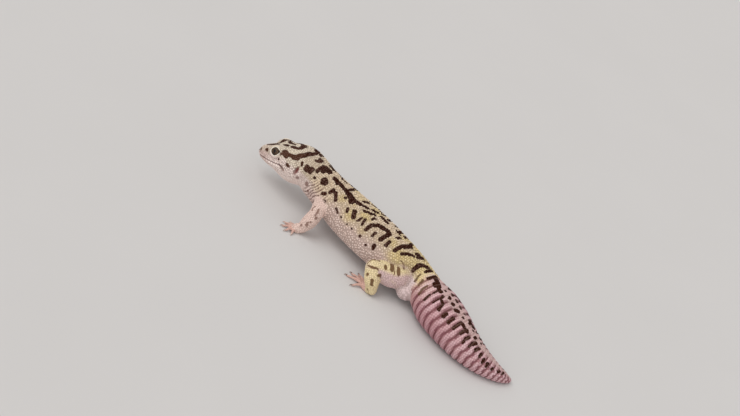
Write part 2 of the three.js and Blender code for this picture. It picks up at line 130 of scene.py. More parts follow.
# limbs: joints with the radius there, and the way the foot points
LIMBS = {
    "front_left": {
        "root": (-24.5, -7.5, 15.0, 4.8),
        "bend": (-20.6, -17.0, 12.8, 3.8),
        "shaft": (-21.2, -19.2, 7.6, 3.9),
        "ankle": (-22.4, -20.8, 3.0, 2.8),
        "palm": (-24.8, -22.6, 1.2, 2.8),
        "heading": 218,
    },
    "front_right": {
        "root": (-24.5, 7.5, 15.0, 4.8),
        "bend": (-21.6, 16.6, 11.4, 3.8),
        "shaft": (-24.6, 18.6, 7.0, 3.8),
        "ankle": (-27.6, 19.8, 3.0, 2.7),
        "palm": (-30.2, 21.2, 1.2, 2.8),
        "heading": 150,
    },
    "rear_left": {
        "root": (33.0, -6.0, 13.0, 6.6),
        "haunch": (29.0, -11.0, 11.0, 6.4),
        "bend": (21.6, -18.8, 12.6, 4.4),
        "shaft": (24.6, -20.4, 7.8, 4.2),
        "ankle": (27.2, -20.6, 3.0, 2.8),
        "palm": (22.6, -19.2, 1.4, 3.0),
        "heading": 172,
    },
    "rear_right": {
        "root": (33.0, 6.0, 13.0, 6.6),
        "haunch": (29.6, 10.6, 10.6, 6.4),
        "bend": (23.6, 17.4, 9.6, 4.4),
        "shaft": (28.0, 19.4, 6.2, 4.0),
        "ankle": (31.6, 20.2, 3.0, 2.8),
        "palm": (27.4, 20.8, 1.4, 3.0),
        "heading": 166,
    },
}
# digits, inner to outer: angle from the foot's heading, length from the palm's centre
FINGERS = ((-62, 4.6), (-28, 5.8), (4, 6.4), (36, 6.0), (72, 4.8))
TOES = ((-52, 6.4), (-22, 8.6), (2, 10.0), (24, 10.6), (66, 7.4))
DIGIT = {"root": 1.15, "middle": 0.85, "tip": 0.7, "start": 0.2, "joint": 0.62, "arch": 1.5}
CLAW = {"length": 1.3, "root": 0.34, "tip": 0.05, "low": 0.2, "arch": 0.28}


# ==== the body's shape ================================================================
def along(rows, t):
    """Values of a table of rows at fractional row numbers, on a Catmull-Rom curve."""
    rows = np.asarray(rows, float)
    last = len(rows) - 1
    t = np.atleast_1d(np.asarray(t, float))
    i = np.clip(np.floor(t).astype(int), 0, last - 1)
    f = (t - i)[:, None]
    a, b = rows[i], rows[i + 1]
    before = np.where((i > 0)[:, None], rows[np.maximum(i - 1, 0)], 2 * a - b)
    after = np.where((i + 2 <= last)[:, None], rows[np.minimum(i + 2, last)], 2 * b - a)
    m0, m1, rise = (b - before) / 2, (after - a) / 2, b - a
    return a + f * (m0 + f * (3 * rise - 2 * m0 - m1 + f * (m0 + m1 - 2 * rise)))


def unit(v):
    return v / np.maximum(np.linalg.norm(v, axis=-1, keepdims=True), 1e-12)


def power(v, e):
    return np.sign(v) * np.abs(v) ** e


def ease(low, high, v):
    """0 below low, 1 above high, and a smooth rise between."""
    f = np.clip((np.asarray(v, float) - low) / (high - low), 0, 1)
    return f * f * (3 - 2 * f)


def bell(v, width, power=2):
    """1 where v is 0, falling to 0 on both sides over about a width."""
    return np.exp(-((v / width) ** power))


def head_turn():
    """The head's turn to its left, its lift and its tilt."""
    turn = Matrix.Rotation(math.radians(HEAD_YAW), 3, "Z")
    turn = turn @ Matrix.Rotation(math.radians(-HEAD_PITCH), 3, "Y")
    turn = turn @ Matrix.Rotation(math.radians(HEAD_ROLL), 3, "X")
    return np.array(turn)


# columns: back from the snout, to the left side, up
HEAD_AXES = head_turn() @ np.diag([1.0, -1.0, 1.0])


def head_point(back, left, above):
    return np.array(SNOUT) + HEAD_AXES @ np.array([back, left, above], float)


def to_head(points):
    """Distance behind the snout, to the left and above the head's axis."""
    return (points - np.array(SNOUT)) @ HEAD_AXES


def body_rows():
    """Centre, roll and section sizes from the snout to the tip of the tail."""
    rows = [(*head_point(r[0], 0, 0), HEAD_ROLL, *r[1:]) for r in HEAD_ROWS]
    rows += [(x, y, z, 0, *sizes) for x, y, z, *sizes in TRUNK_ROWS]
    rows += [(x, y, below - FLAT, 0, w, above, below, 2.0, 0.0) for x, y, w, above, below in TAIL_ROWS]
    return np.array(rows, float)


BODY = body_rows()
LAST = len(BODY) - 1


def body_frame(t):
    """Centres, tangents, left and up directions, and section sizes at row numbers."""
    step = 0.01
    here = along(BODY, t)
    ahead = along(BODY, np.minimum(t + step, LAST))[:, :3]
    tangent = unit(ahead - along(BODY, np.maximum(t - step, 0))[:, :3])
    level = unit(np.cross(tangent, [0, 0, 1]))
    roll = np.radians(here[:, 3:4])
    left = level * np.cos(roll) + np.cross(tangent, level) * np.sin(roll)
    return here[:, :3], tangent, left, np.cross(left, tangent), here[:, 4:]


def section(sizes, angles):
    """Sideways and upward reach of sections at angles from the crown towards the left side."""
    wide, above, below, square, lean = (sizes[:, k : k + 1] for k in range(5))
    side = power(np.sin(angles)[None, :], 2 / square)
    high = power(np.cos(angles)[None, :], 2 / square)
    return wide * (1 - lean * high) * side, np.where(high > 0, above, below) * high


STEPS = 900  # places along the body where its course is known
AROUND = 120
COURSE_T = np.linspace(0, LAST, STEPS)
COURSE, TANGENT, LEFT, UP, SIZES = body_frame(COURSE_T)
REACH = np.concatenate([[0], np.cumsum(np.linalg.norm(np.diff(COURSE, axis=0), axis=1))])
LENGTH = REACH[-1]
GIRTH = (SIZES[:, 0] + (SIZES[:, 1] + SIZES[:, 2]) / 2) / 2  # mean radius


def polar_radii():
    """Radius of each section at even true angles, -180 to 180 degrees."""
    out, rise = section(SIZES, np.linspace(-np.pi, np.pi, 241))
    true = np.arctan2(out, rise)
    even = np.linspace(-np.pi, np.pi, AROUND + 1)
    reach = np.hypot(out, rise)
    table = [np.interp(even, np.unwrap(a), r) for a, r in zip(true, reach)]
    return np.array(table)


RADII = polar_radii()


def course_row(distance):
    """Place in the tables of the course at a distance behind the snout."""
    return np.interp(distance, REACH, np.arange(STEPS))


def course_value(values, distance):
    """Values of a table of the course at distances behind the snout."""
    return np.stack([np.interp(distance, REACH, column) for column in values.T], -1)


def bulge_frames():
    """Centres and axes of the two swellings under the root of the tail."""
    centre, tangent, left, up, _ = (part[0] for part in body_frame(np.array([BULGE["row"]])))
    frames = []
    for side in (1, -1):
        turn = math.radians(side * BULGE["turn"])
        out = left * math.sin(turn) + up * math.cos(turn)
        frames.append((centre + out * BULGE["from"], np.stack([tangent, np.cross(out, tangent), out], 1)))
    return frames


BULGES = bulge_frames()
BULGE_RADII = np.array([BULGE["along"], BULGE["round"], BULGE["out"]])


def over_bulge(points):
    """Height over the nearer swelling."""
    height = np.full(len(points), 1e9)
    for centre, axes in BULGES:
        offset = (points - centre) @ axes
        share = np.maximum(np.linalg.norm(offset / BULGE_RADII, axis=1), 1e-6)
        height = np.minimum(height, np.linalg.norm(offset, axis=1) * (1 - 1 / share))
    return height


def on_bulge(points):
    """1 on the two swellings, falling to 0 round them."""
    return 1 - ease(0.3, 1.4, over_bulge(points))


def locate(points):
    """Distance behind the snout, degrees round from the spine to the left, and height over the body."""
    points = np.asarray(points, float)
    best = np.zeros(len(points), int)
    for start in range(0, len(points), 4000):
        part = points[start : start + 4000]
        apart = ((part[:, None, :] - COURSE[None, ::3, :]) ** 2).sum(2)
        best[start : start + 4000] = apart.argmin(1) * 3
    for _ in range(2):
        step = ((points - COURSE[best]) * TANGENT[best]).sum(1)
        best = np.rint(course_row(REACH[best] + step)).astype(int)
    offset = points - COURSE[best]
    distance = REACH[best] + (offset * TANGENT[best]).sum(1)
    angle = np.arctan2((offset * LEFT[best]).sum(1), (offset * UP[best]).sum(1))
    place = (angle + np.pi) / (2 * np.pi) * AROUND
    low = np.clip(np.floor(place).astype(int), 0, AROUND - 1)
    share = place - low
    surface = RADII[best, low] * (1 - share) + RADII[best, low + 1] * share
    height = np.minimum(np.linalg.norm(offset, axis=1) - surface, over_bulge(points))
    return distance, np.degrees(angle), height


def degree_length(distance, angle):
    """Millimetres that one degree spans on the surface."""
    row = np.rint(course_row(distance)).astype(int)
    turn = np.rint((np.asarray(angle) + 180) / 360 * AROUND).astype(int) % AROUND
    return RADII[row, turn] * math.pi / 180


# ==== parts of the flesh, as closed shells ============================================
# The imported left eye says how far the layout's origin is from the part's own.
SHIFT = (np.array(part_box("eye_left")[0]) + np.array(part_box("eye_left")[1])) / (2 * MM)
SHIFT = SHIFT - head_point(EYE["back"], EYE["side"], EYE["above"])


def to_part(points):
    """Places in the part's own frame, in metres."""
    return (np.asarray(points, float) + SHIFT) * MM


def ring_faces(rows, around, start=0):
    """Quads over rows of points that close round."""
    grid = start + np.arange(rows * around).reshape(rows, around)
    beside = np.roll(grid, -1, axis=1)
    return np.stack([grid[:-1], beside[:-1], beside[1:], grid[1:]], -1).reshape(-1, 4).tolist()


class Shells:
    """Closed shells gathered into one list of points and faces."""

    def __init__(self):
        self.points, self.faces, self.count = [], [], 0

    def loft(self, rings):
        """A closed shell through rings of points, each end closed to its middle."""
        rings = np.asarray(rings, float)
        rows, around = rings.shape[:2]
        start = self.count
        self.faces += ring_faces(rows, around, start)
        first = start + np.arange(around)
        last = first + (rows - 1) * around
        near, far = start + rows * around, start + rows * around + 1
        self.faces += [[b, a, near] for a, b in zip(first, np.roll(first, -1))]
        self.faces += [[a, b, far] for a, b in zip(last, np.roll(last, -1))]
        self.points += [rings.reshape(-1, 3), rings[0].mean(0)[None], rings[-1].mean(0)[None]]
        self.count += rows * around + 2

    def ball(self, centre, radii, axes=None, around=32):
        """An ellipsoid with its radii along the columns of axes."""
        axes = np.eye(3) if axes is None else axes
        polar = np.linspace(0.02, np.pi - 0.02, around // 2)
        turn = np.linspace(0, 2 * np.pi, around, endpoint=False)
        out, rise = np.sin(polar)[:, None], np.repeat(np.cos(polar)[:, None], around, 1)
        flat = np.stack([out * np.cos(turn), out * np.sin(turn), rise], -1)
        self.loft(np.asarray(centre) + (flat * np.asarray(radii)) @ np.asarray(axes).T)

    def taper(self, rows, start, end, steps, around=28):
        """A round tapering length between two row numbers of a table of x, y, z, radius."""
        t = np.linspace(start, end, steps)
        here = along(rows, t)
        last = len(rows) - 1
        ahead = along(rows, np.minimum(t + 0.02, last))[:, :3]
        tangent = unit(ahead - along(rows, np.maximum(t - 0.02, 0))[:, :3])
        level = unit(np.cross(tangent, [0, 0, 1]))
        up = np.cross(level, tangent)
        turn = np.linspace(0, 2 * np.pi, around, endpoint=False)
        ring = level[:, None] * np.sin(turn)[None, :, None] + up[:, None] * np.cos(turn)[None, :, None]
        self.loft(here[:, None, :3] + ring * here[:, None, 3:4])

    def arrays(self):
        return np.concatenate(self.points), self.faces


def upper_rows(limb):
    """Places along the upper arm or the thigh, which has a full haunch."""
    return [limb[k] for k in ("root", "haunch", "bend") if k in limb]


def digit_places(limb, angle, length):
    """Points of a digit with their radii, its direction and its tip."""
    side = 1 if limb["name"].endswith("left") else -1
    course = math.radians(limb["heading"] + side * angle)
    ahead = np.array([math.cos(course), math.sin(course), 0.0])
    palm = np.array(limb["palm"][:3])

    def spot(share, height):
        return [*(palm + ahead * share * length)[:2], height]

    rows = [
        [*spot(DIGIT["start"], palm[2]), DIGIT["root"]],
        [*spot(DIGIT["joint"], DIGIT["arch"]), DIGIT["middle"]],
        [*spot(1, DIGIT["tip"] - FLAT / 2), DIGIT["tip"]],
    ]
    return rows, ahead, np.array(spot(1, DIGIT["tip"]))


for limb_name, limb in LIMBS.items():
    limb["name"] = limb_name
    limb["digits"] = FINGERS if limb_name.startswith("front") else TOES


def limb_shells(shells, limb):
    """A limb with round joints, a flat palm and its digits."""
    upper = upper_rows(limb)
    shells.taper(upper, 0, len(upper) - 1, 24)
    shells.ball(limb["bend"][:3], [limb["bend"][3]] * 3)
    shells.taper([limb["bend"], limb["shaft"], limb["ankle"]], 0, 2, 30)
    shells.ball(limb["ankle"][:3], [limb["ankle"][3]] * 3)
    shells.taper([limb["ankle"], limb["palm"]], 0, 1, 16)
    *palm, radius = limb["palm"]
    shells.ball(palm, (radius, radius, palm[2] + FLAT))
    for angle, length in limb["digits"]:
        rows, _, tip = digit_places(limb, angle, length)
        shells.taper(rows, 0, 2, 20, 16)
        shells.ball([*tip[:2], DIGIT["tip"] - FLAT / 2], [DIGIT["tip"]] * 3, around=16)


def flesh_shells():
    """Overlapping shells of the body, brows, swellings and limbs."""
    shells = Shells()
    t = np.linspace(0, LAST, 520)
    centre, _, left, up, sizes = body_frame(t)
    out, rise = section(sizes, np.linspace(0, 2 * np.pi, AROUND, endpoint=False))
    shells.loft(centre[:, None] + left[:, None] * out[..., None] + up[:, None] * rise[..., None])
    for side in (1, -1):
        brow = head_point(BROW["back"], side * BROW["side"], BROW["above"])
        shells.ball(brow, (BROW["along"], BROW["across"], BROW["high"]), HEAD_AXES, 48)
    for centre, axes in BULGES:
        shells.ball(centre, BULGE_RADII, axes, 48)
    for limb in LIMBS.values():
        limb_shells(shells, limb)
    return shells.arrays()


# ==== skin ============================================================================
VOXEL = 0.38
COAT_DEPTH = 0.18  # how far the skin lies inside the solids, to make room for the scales
SOLE = 0.04  # height of the skin's lowest points over the floor
SMOOTH = 0.5  # share of the way to its neighbours that each point moves in a round
# where a limb joins the body: how wide the smoothing is, its share and rounds, and how much of it
# is held back by the swellings under the tail
JOIN = {"wide": 2.2, "share": 0.6, "rounds": 90, "bulge": 0.75}
BROW_JOIN = {"start": 4.5, "end": 9.0, "share": 0.5, "rounds": 10}  # distances from the eye's centre


def put(name, data):
    """A new object in the scene."""
    made = bpy.data.objects.new(name, data)
    bpy.context.collection.objects.link(made)
    return made


def fused(points, faces):
    """One closed skin of quads over overlapping shells."""
    mesh = bpy.data.meshes.new("shells")
    mesh.from_pydata(points.tolist(), [], faces)
    shell = put("shells", mesh)
    fuse = shell.modifiers.new("fuse", "REMESH")
    fuse.mode = "VOXEL"
    fuse.voxel_size = VOXEL
    graph = bpy.context.evaluated_depsgraph_get()
    made = shell.evaluated_get(graph).to_mesh()
    found = np.empty(len(made.vertices) * 3)
    made.vertices.foreach_get("co", found)
    corners = np.empty(len(made.loops), int)
    made.loops.foreach_get("vertex_index", corners)
    quads = corners.reshape(-1, 4)
    shell.evaluated_get(graph).to_mesh_clear()
    bpy.data.objects.remove(shell)
    bpy.data.meshes.remove(mesh)
    return found.reshape(-1, 3), quads


def edges_of(quads):
    """Every edge once, as a pair of point numbers."""
    pairs = np.concatenate([quads[:, [k, (k + 1) % 4]] for k in range(4)])
    return np.unique(np.sort(pairs, 1), axis=0)


def relaxed(points, edges, share, rounds):
    """Each point drawn towards the mean of its neighbours by its share, again and again."""
    a = np.concatenate([edges[:, 0], edges[:, 1]])
    b = np.concatenate([edges[:, 1], edges[:, 0]])
    count = np.bincount(a, minlength=len(points))
    for _ in range(rounds):
        mean = np.stack([np.bincount(a, points[b, k], len(points)) / count for k in range(3)], 1)
        points = points + (mean - points) * share
    return points


def normals_of(points, quads):
    """Normals at the points, from the faces round them."""
    across = np.cross(points[quads[:, 2]] - points[quads[:, 0]], points[quads[:, 3]] - points[quads[:, 1]])
    found = np.zeros_like(points)
    for k in range(4):
        for axis in range(3):
            found[:, axis] += np.bincount(quads[:, k], across[:, axis], len(points))
    return unit(found)


def limb_bones():
    """Straight lengths of every limb: ends, radii, distance from the root, limb number, digit number."""
    bones = []
    for number, limb in enumerate(LIMBS.values()):
        joints = [*upper_rows(limb), *[limb[k] for k in ("shaft", "ankle", "palm")]]
        reach = 0.0
        for a, b in zip(joints, joints[1:]):
            bones.append((a, b, reach, number, -1))
            reach += math.dist(a[:3], b[:3])
        for digit, (angle, length) in enumerate(limb["digits"]):
            rows, _, _ = digit_places(limb, angle, length)
            bones.append((rows[0], rows[1], reach, number, digit))
            bones.append((rows[1], rows[2], reach + 0.4 * length, number, digit))
    return bones


BONES = limb_bones()
LIMB_REACH = 48.0  # longer than any limb with its toes
DIGITS_FROM = {"rear": 31, "front": 27}  # millimetres from the limb's root


def on_limbs(points):
    """Where points lie about the nearest limb: height over it, distance from its root, degrees round
    it, its number, its digit or -1, and depth below its middle as a share of its radius."""
    names = ("over_limb", "reach", "turn", "number", "finger", "sink")
    best = np.full((len(names), len(points)), 1e9)
    for a, b, start, number, finger in BONES:
        low, high = np.array(a[:3]), np.array(b[:3])
        length = np.linalg.norm(high - low)
        way = (high - low) / length
        share = np.clip((points - low) @ way / length, 0, 1)
        offset = points - low - share[:, None] * (high - low)
        radius = a[3] + share * (b[3] - a[3])
        height = np.linalg.norm(offset, axis=1) - radius
        level = unit(np.cross(way, [0.3, 0.1, 0.9]))
        turn = np.degrees(np.arctan2(offset @ level, offset @ np.cross(level, way)))
        sink = -offset[:, 2] / radius
        here = np.broadcast_arrays(height, start + share * length, turn, number, finger, sink)
        best = np.where(height < best[0], np.stack(here), best)
    return dict(zip(names, best))


def surveyed(points):
    """Where points lie about the body and about the nearest limb."""
    distance, angle, height = locate(points)
    return {"along": distance, "round": angle, "over_body": height, **on_limbs(points)}


def whorl_grooves():
    """Distances behind the snout of the grooves between the tail's whorls."""
    start = np.interp(VENT, COURSE_T, REACH)
    first = (LENGTH - start) * (1 - WHORL_SHRINK) / (1 - WHORL_SHRINK**WHORLS)
    return start + first * np.concatenate([[0], np.cumsum(WHORL_SHRINK ** np.arange(WHORLS))])


GROOVES = whorl_grooves()

# gaze and opening of an eye: directions along the head's axes, half angles in degrees,
# and how far, where and how widely the opening is drawn out at its rear corner
GAZE = (-0.06, 0.84, 0.5)
LID = {"wide": 44, "upper": 38, "lower": 43, "squareness": 1.55}
CORNER = {"out": 7, "turn": 10, "wide": 16}
# thickness of the skin over the ball, depth of the opening's floor in it, how far out the skin is
# drawn to the ball, and half angles outside the opening over which it lets go
SOCKET = {"thick": 0.34, "deep": 0.8, "reach": 3.5, "let_go": (8, 30), "limit": 100}


def eye_axes(side):
    """Centre of an eyeball and its gaze, backward and upward directions."""
    centre = head_point(EYE["back"], side * EYE["side"], EYE["above"])
    gaze = unit(HEAD_AXES @ np.array([GAZE[0], side * GAZE[1], GAZE[2]]))
    back = HEAD_AXES[:, 0]
    back = unit(back - gaze * (back @ gaze))
    up = np.cross(gaze, back) * (-1 if (np.cross(gaze, back) @ HEAD_AXES[:, 2]) < 0 else 1)
    return centre, gaze, back, up


def lid_angle(turn):
    """Half angle of the eye's opening, in degrees, at a turn from the rear corner upwards."""
    high = np.where(np.sin(turn) > 0, LID["upper"], LID["lower"])
    square = LID["squareness"]
    reach = np.abs(np.cos(turn) / LID["wide"]) ** square + np.abs(np.sin(turn) / high) ** square
    corner = bell((np.degrees(turn) + 180) % 360 - 180 - CORNER["turn"], CORNER["wide"])
    return reach ** (-1 / square) + CORNER["out"] * corner


def about_eye(points, side):
    """Distance from the eye's centre, angle off its gaze, and turn from the rear corner upwards."""
    centre, gaze, back, up = eye_axes(side)
    offset = points - centre
    far = np.linalg.norm(offset, axis=1)
    off = np.degrees(np.arccos(np.clip(offset @ gaze / np.maximum(far, 1e-6), -1, 1)))
    return far, off, np.arctan2(offset @ up, offset @ back)


def about_gaze(side, off, turn):
    """Directions out of an eyeball at radians off its gaze and turns from the rear corner upwards."""
    _, gaze, back, up = eye_axes(side)
    ring = back * np.cos(turn)[:, None] + up * np.sin(turn)[:, None]
    return gaze * np.cos(off)[..., None] + ring[None] * np.sin(off)[..., None]


def ear_distance(head, side):
    """Distance from an ear's middle as a share of its size; the slit leans back at the top."""
    along_head, out, up = (head - np.array([EAR["back"], side * EAR["side"], EAR["above"]])).T
    leant = along_head - EAR["lean"] * up
    return np.sqrt((leant / EAR["along"]) ** 2 + (out / EAR["out"]) ** 2 + (up / EAR["high"]) ** 2)


def nostril_distance(points, side):
    """Distance from the middle of a nostril."""
    nostril = head_point(NOSTRIL["back"], side * NOSTRIL["side"], NOSTRIL["above"])
    return np.linalg.norm(points - nostril, axis=1)


def mouth_height(back):
    """Height of the mouth's line over the head's axis."""
    return np.interp(back, *np.transpose(MOUTH))


def blended(points, edges):
    """The skin smoothed all over, most where limbs and brows join the body."""
    # drawn in and let out again, which takes off small steps and keeps the fullness
    points = relaxed(points, edges, SMOOTH, 3)
    points = relaxed(points, edges, -1.04 * SMOOTH, 3)
    place = surveyed(points)
    join = bell(np.hypot(place["over_body"], place["over_limb"]), JOIN["wide"])
    join *= 1 - JOIN["bulge"] * on_bulge(points)
    points = relaxed(points, edges, JOIN["share"] * join[:, None], JOIN["rounds"])
    from_eye = np.minimum(about_eye(points, 1)[0], about_eye(points, -1)[0])
    brow = 1 - ease(BROW_JOIN["start"], BROW_JOIN["end"], from_eye)
    points = relaxed(points, edges, BROW_JOIN["share"] * brow[:, None], BROW_JOIN["rounds"])
    return relaxed(points, edges, SMOOTH, 3)


def relief(points):
    """How far the skin's folds, grooves and pits stand out, in millimetres."""
    place = surveyed(points)
    distance, angle = place["along"], place["round"]
    on_body = 1 - ease(*BODY_EDGE, place["over_body"] - place["over_limb"])
    head = to_head(points)
    rise = np.full(len(points), -COAT_DEPTH)

    # whorls: grooves that are shallow along the top, with plates that swell between them
    off_groove, span = whorl_phase(distance, angle)
    on_tail = on_body * ease(*TAIL_START["relief"], distance) * (0.35 + 0.65 * ease(12, 45, np.abs(angle)))
    on_tail *= 1 - on_bulge(points)
    deep = np.minimum(WHORL_GROOVE["deepest"], WHORL_GROOVE["deep"] * span)
    rise -= deep * on_tail * bell(off_groove, WHORL_GROOVE["wide"] * span + WHORL_GROOVE["edge"])
    rise += WHORL_GROOVE["swell"] * span * on_tail * whorl_swell(off_groove, span)

    # mouth: a groove along each side with a soft lip over it
    off_mouth = head[:, 2] - mouth_height(head[:, 0])
    along_mouth = 1 - ease(*MOUTH_END, head[:, 0])
    lip = MOUTH_GROOVE["lip"] * bell(off_mouth - MOUTH_GROOVE["lip_above"], MOUTH_GROOVE["lip_wide"])
    rise += along_mouth * (lip - MOUTH_GROOVE["deep"] * bell(off_mouth, MOUTH_GROOVE["wide"]))

    # nostrils with a raised rim, and ear pits
    for side in (1, -1):
        away = nostril_distance(points, side)
        rise += NOSTRIL_RIM["high"] * bell(away - NOSTRIL_RIM["radius"], NOSTRIL_RIM["wide"])
        rise -= NOSTRIL["deep"] * bell(away, NOSTRIL["radius"])
        rise -= EAR_PIT["deep"] * bell(ear_distance(head, side), EAR_PIT["share"], EAR_PIT["steep"])

    # a fold from armpit to groin, and fine creases across the neck
    flank = bell(np.abs(angle) - FLANK_FOLD["turn"], FLANK_FOLD["wide"])
    flank *= ease(*FLANK_FOLD["start"], distance) * (1 - ease(*FLANK_FOLD["end"], distance))
    return rise + on_body * (FLANK_FOLD["out"] * flank - NECK_CREASE["deep"] * neck_creases(distance, angle))


def opened(points, side):
    """The skin lifted over an eyeball, with an opening under the lids."""
    centre = eye_axes(side)[0]
    far, off, turn = about_eye(points, side)
    opening = lid_angle(turn)
    covered = np.maximum(far, EYE["radius"] + SOCKET["thick"])
    keep = 1 - ease(*SOCKET["let_go"], off - opening)
    wrapped = far * (1 - keep) + np.where(off < 90, covered, far) * keep
    wrapped = np.where(off < opening - 1, EYE["radius"] - SOCKET["deep"], wrapped)
    near = (far < EYE["radius"] + SOCKET["reach"]) & (off < SOCKET["limit"])
    return centre + (points - centre) * np.where(near, wrapped / far, 1)[:, None]


def shaped(points, quads):
    """The skin with its limbs blended in and its folds, grooves, pits and eye openings."""
    points = blended(points, edges_of(quads))
    points = points + normals_of(points, quads) * relief(points)[:, None]
    for side in (1, -1):
        points = opened(points, side)
    points[:, 2] = np.maximum(points[:, 2], SOLE)
    return points


# ==== markings ========================================================================
# Strokes on the skin: half width, then places as millimetres behind the snout and degrees round
# from the spine towards the left side.
CROWN_MARKS = (
    (0.9, (4.6, 0), (7.2, 4), (10.4, 10)),  # bridge of the snout
    (0.7, (7.5, -10), (10.2, -14)),
    (0.9, (11, -24), (13, -34), (17, -42)),  # over the eyes
    (0.95, (14.2, 8), (16.3, 15)),
    (1.15, (15.2, -24), (16.6, -12)),
    (0.75, (16.6, -12), (19, -5)),
    (1.15, (19.2, 16), (21.5, 19), (23.6, 15), (24.2, 0), (23.8, -14), (21.5, -26), (19, -30)),
    (0.8, (30.8, -34), (30.6, -14)),
    (0.8, (32.4, 2), (32.5, 14)),
    (0.65, (32.4, 14), (31.9, 27)),
)
# strokes and spots that both sides have
HEAD_MARKS = (
    (0.75, (5.5, 47), (6.3, 54)),  # spot before the eye
    (0.8, (14.4, 58), (16, 54)),  # band from the eye round the nape
    (1.7, (17.2, 48), (18.6, 56)),
    (0.9, (19, 53), (24, 53)),
    (1.35, (23.2, 55), (25, 55)),
    (1.5, (25.5, 48), (27.2, 40)),
    (1.2, (27.8, 32), (28.8, 15)),
    (0.6, (29.2, 10), (29.4, 0)),
    (0.5, (14.8, 75)),
    (0.8, (20.6, 80), (21.5, 83)),
    (0.6, (15.7, 91), (17.2, 95), (18.8, 99)),  # corner of the mouth
    (0.6, (28.7, 63), (29.2, 71)),
    (1.2, (31.4, 64), (31.4, 74)),
    (0.9, (32.8, 58), (32.8, 72)),
    (0.8, (36.4, 72)),
    (1.0, (29.4, 115)),
    (0.9, (35.5, 108), (36.2, 116)),
    (0.7, (39.5, 127)),
)
FLANK_MARKS = (
    (1.9, (41.8, 50), (42.8, 52)),
    (1.1, (42, 60)),
    (0.95, (47, 75), (48, 70)),
    (0.9, (51, 83)),
    (1.0, (49.3, 45), (49.3, 57)),
    (0.9, (49.5, 50), (51.6, 46), (53, 52), (55, 60)),
    (0.5, (58.8, 71), (61, 75)),
    (0.45, (64, 76)),
    (0.5, (69, 77)),
    (0.5, (72.5, 77)),
    (0.8, (63, 53), (63.8, 58)),
    (1.1, (66.3, 44), (67.5, 52), (68.7, 58)),
    (0.65, (71.6, 44), (71.6, 57)),
    (0.7, (73.3, 40), (74.5, 56)),
    (0.8, (78.3, 76)),
    (0.8, (82.3, 46), (82.6, 58)),
    (0.8, (83.5, 81)),
    (0.85, (87, 70), (87.6, 76)),
    (1.0, (90.5, 37), (90.8, 52)),
    (1.0, (77.8, 40), (77.8, 58)),
    (1.2, (86.8, 30), (86.7, 50)),
    (1.1, (96, 28), (95.7, 45)),
)
BACK_MARKS = (
    (1.6, (38.9, 7), (36.5, 14)),
    (1.8, (38.5, 11), (36, 22)),
    (1.5, (35.6, 18), (36.2, 32)),
    (0.8, (34.6, 30), (34.8, 52)),
    (1.2, (36, -34), (39.5, -30)),
    (0.8, (36, -18), (39, -22)),
    (0.9, (45, -28), (48, -32)),
    (1.7, (44, 10), (47, 12)),
    (1.0, (47.3, 20)),
    (1.6, (47, 8), (55, 7)),
    (1.9, (56, 12), (60, 20)),
    (2.0, (58.5, 16), (60.5, 24)),
    (1.4, (61, 32)),
    (0.9, (57.2, 34)),
    (1.6, (60, 20), (64, 11)),
    (1.2, (64, 9), (68.2, -2)),
    (1.0, (69, 20), (72, 8), (73.5, -3)),
    (1.1, (54.2, -32), (54, -12)),
    (1.0, (65.2, -34), (64, -16)),
    (1.1, (73, -26), (71, -16)),
    (1.3, (76.5, -22), (80, -22)),
    (0.7, (87, -28), (90, -24)),
    (0.7, (75.6, 10), (75.3, 24)),
    (1.6, (80, 24), (81.5, 17)),  # arch over the loin
    (1.8, (82, 17), (84, 13)),
    (1.6, (85, 10), (86.5, 16)),
    (1.2, (87, 22), (86.8, 32)),
    (1.2, (78.7, 34), (79.5, 28)),
    (0.9, (91.3, -12), (90.6, 2)),
    (1.1, (95.8, 30), (96, 15)),
    (1.6, (96.8, 8), (98.3, -15)),
    (1.0, (99.5, 36), (101, 24)),
    (1.1, (101.5, 20), (103.3, 10)),
    (1.2, (104, -20), (103.8, -8)),
    (1.1, (106.5, -22), (105.5, 0)),
    (1.4, (109.2, 20), (109.6, 44)),
    (1.3, (109.3, 15), (110.5, 2)),
    (1.5, (111, -2), (112.2, -8)),
    (1.1, (114.6, -16), (114.8, 12)),
    (0.9, (118.7, -18), (119, 0), (119.3, 20)),
    (1.5, (119.5, -6), (123.5, 4)),
    (1.6, (123.5, 5), (126, 12)),
    (1.4, (123.5, 14), (125, 18)),
    (1.1, (126.5, 14), (129.8, 18)),
)
# hooks at the upper ends of the tail's grooves, which both sides have
TAIL_HOOKS = (
    (0.7, (128.5, 18), (128.6, 35)),
    (0.6, (128.5, 48), (129, 66)),
    (0.8, (133, 20), (133.8, 30)),
    (0.5, (133.5, 30), (133.6, 52)),
    (0.7, (135, 31), (137, 34)),
    (0.8, (137, 34), (138, 48)),
    (1.0, (138.2, 50)),
    (1.0, (141.6, 42), (141.9, 52)),
    (0.8, (144.8, 32), (145.3, 50)),
    (1.1, (148.7, 18), (150, 19)),
    (0.8, (148.3, 22), (148.6, 48)),
    (1.0, (152.2, 18), (152.8, 20)),
    (0.7, (152, 22), (152, 42)),
    (0.8, (155.3, 27), (155.1, 38)),
    (0.5, (155.2, 40), (155.5, 55)),
    (0.9, (159.2, 20), (158.5, 32)),
    (0.5, (158.2, 35), (158.4, 48)),
    (0.9, (161.8, 24), (161.3, 38)),
    (0.8, (164.2, 35), (164.3, 46)),
    (0.6, (166.5, 42), (166.8, 58)),
    (0.65, (169, 46), (169.3, 62)),
    (0.7, (172.5, 50), (172.3, 58)),
    (0.7, (176.2, 38), (175.6, 46)),
    (0.5, (179, 25), (178, 45)),
)
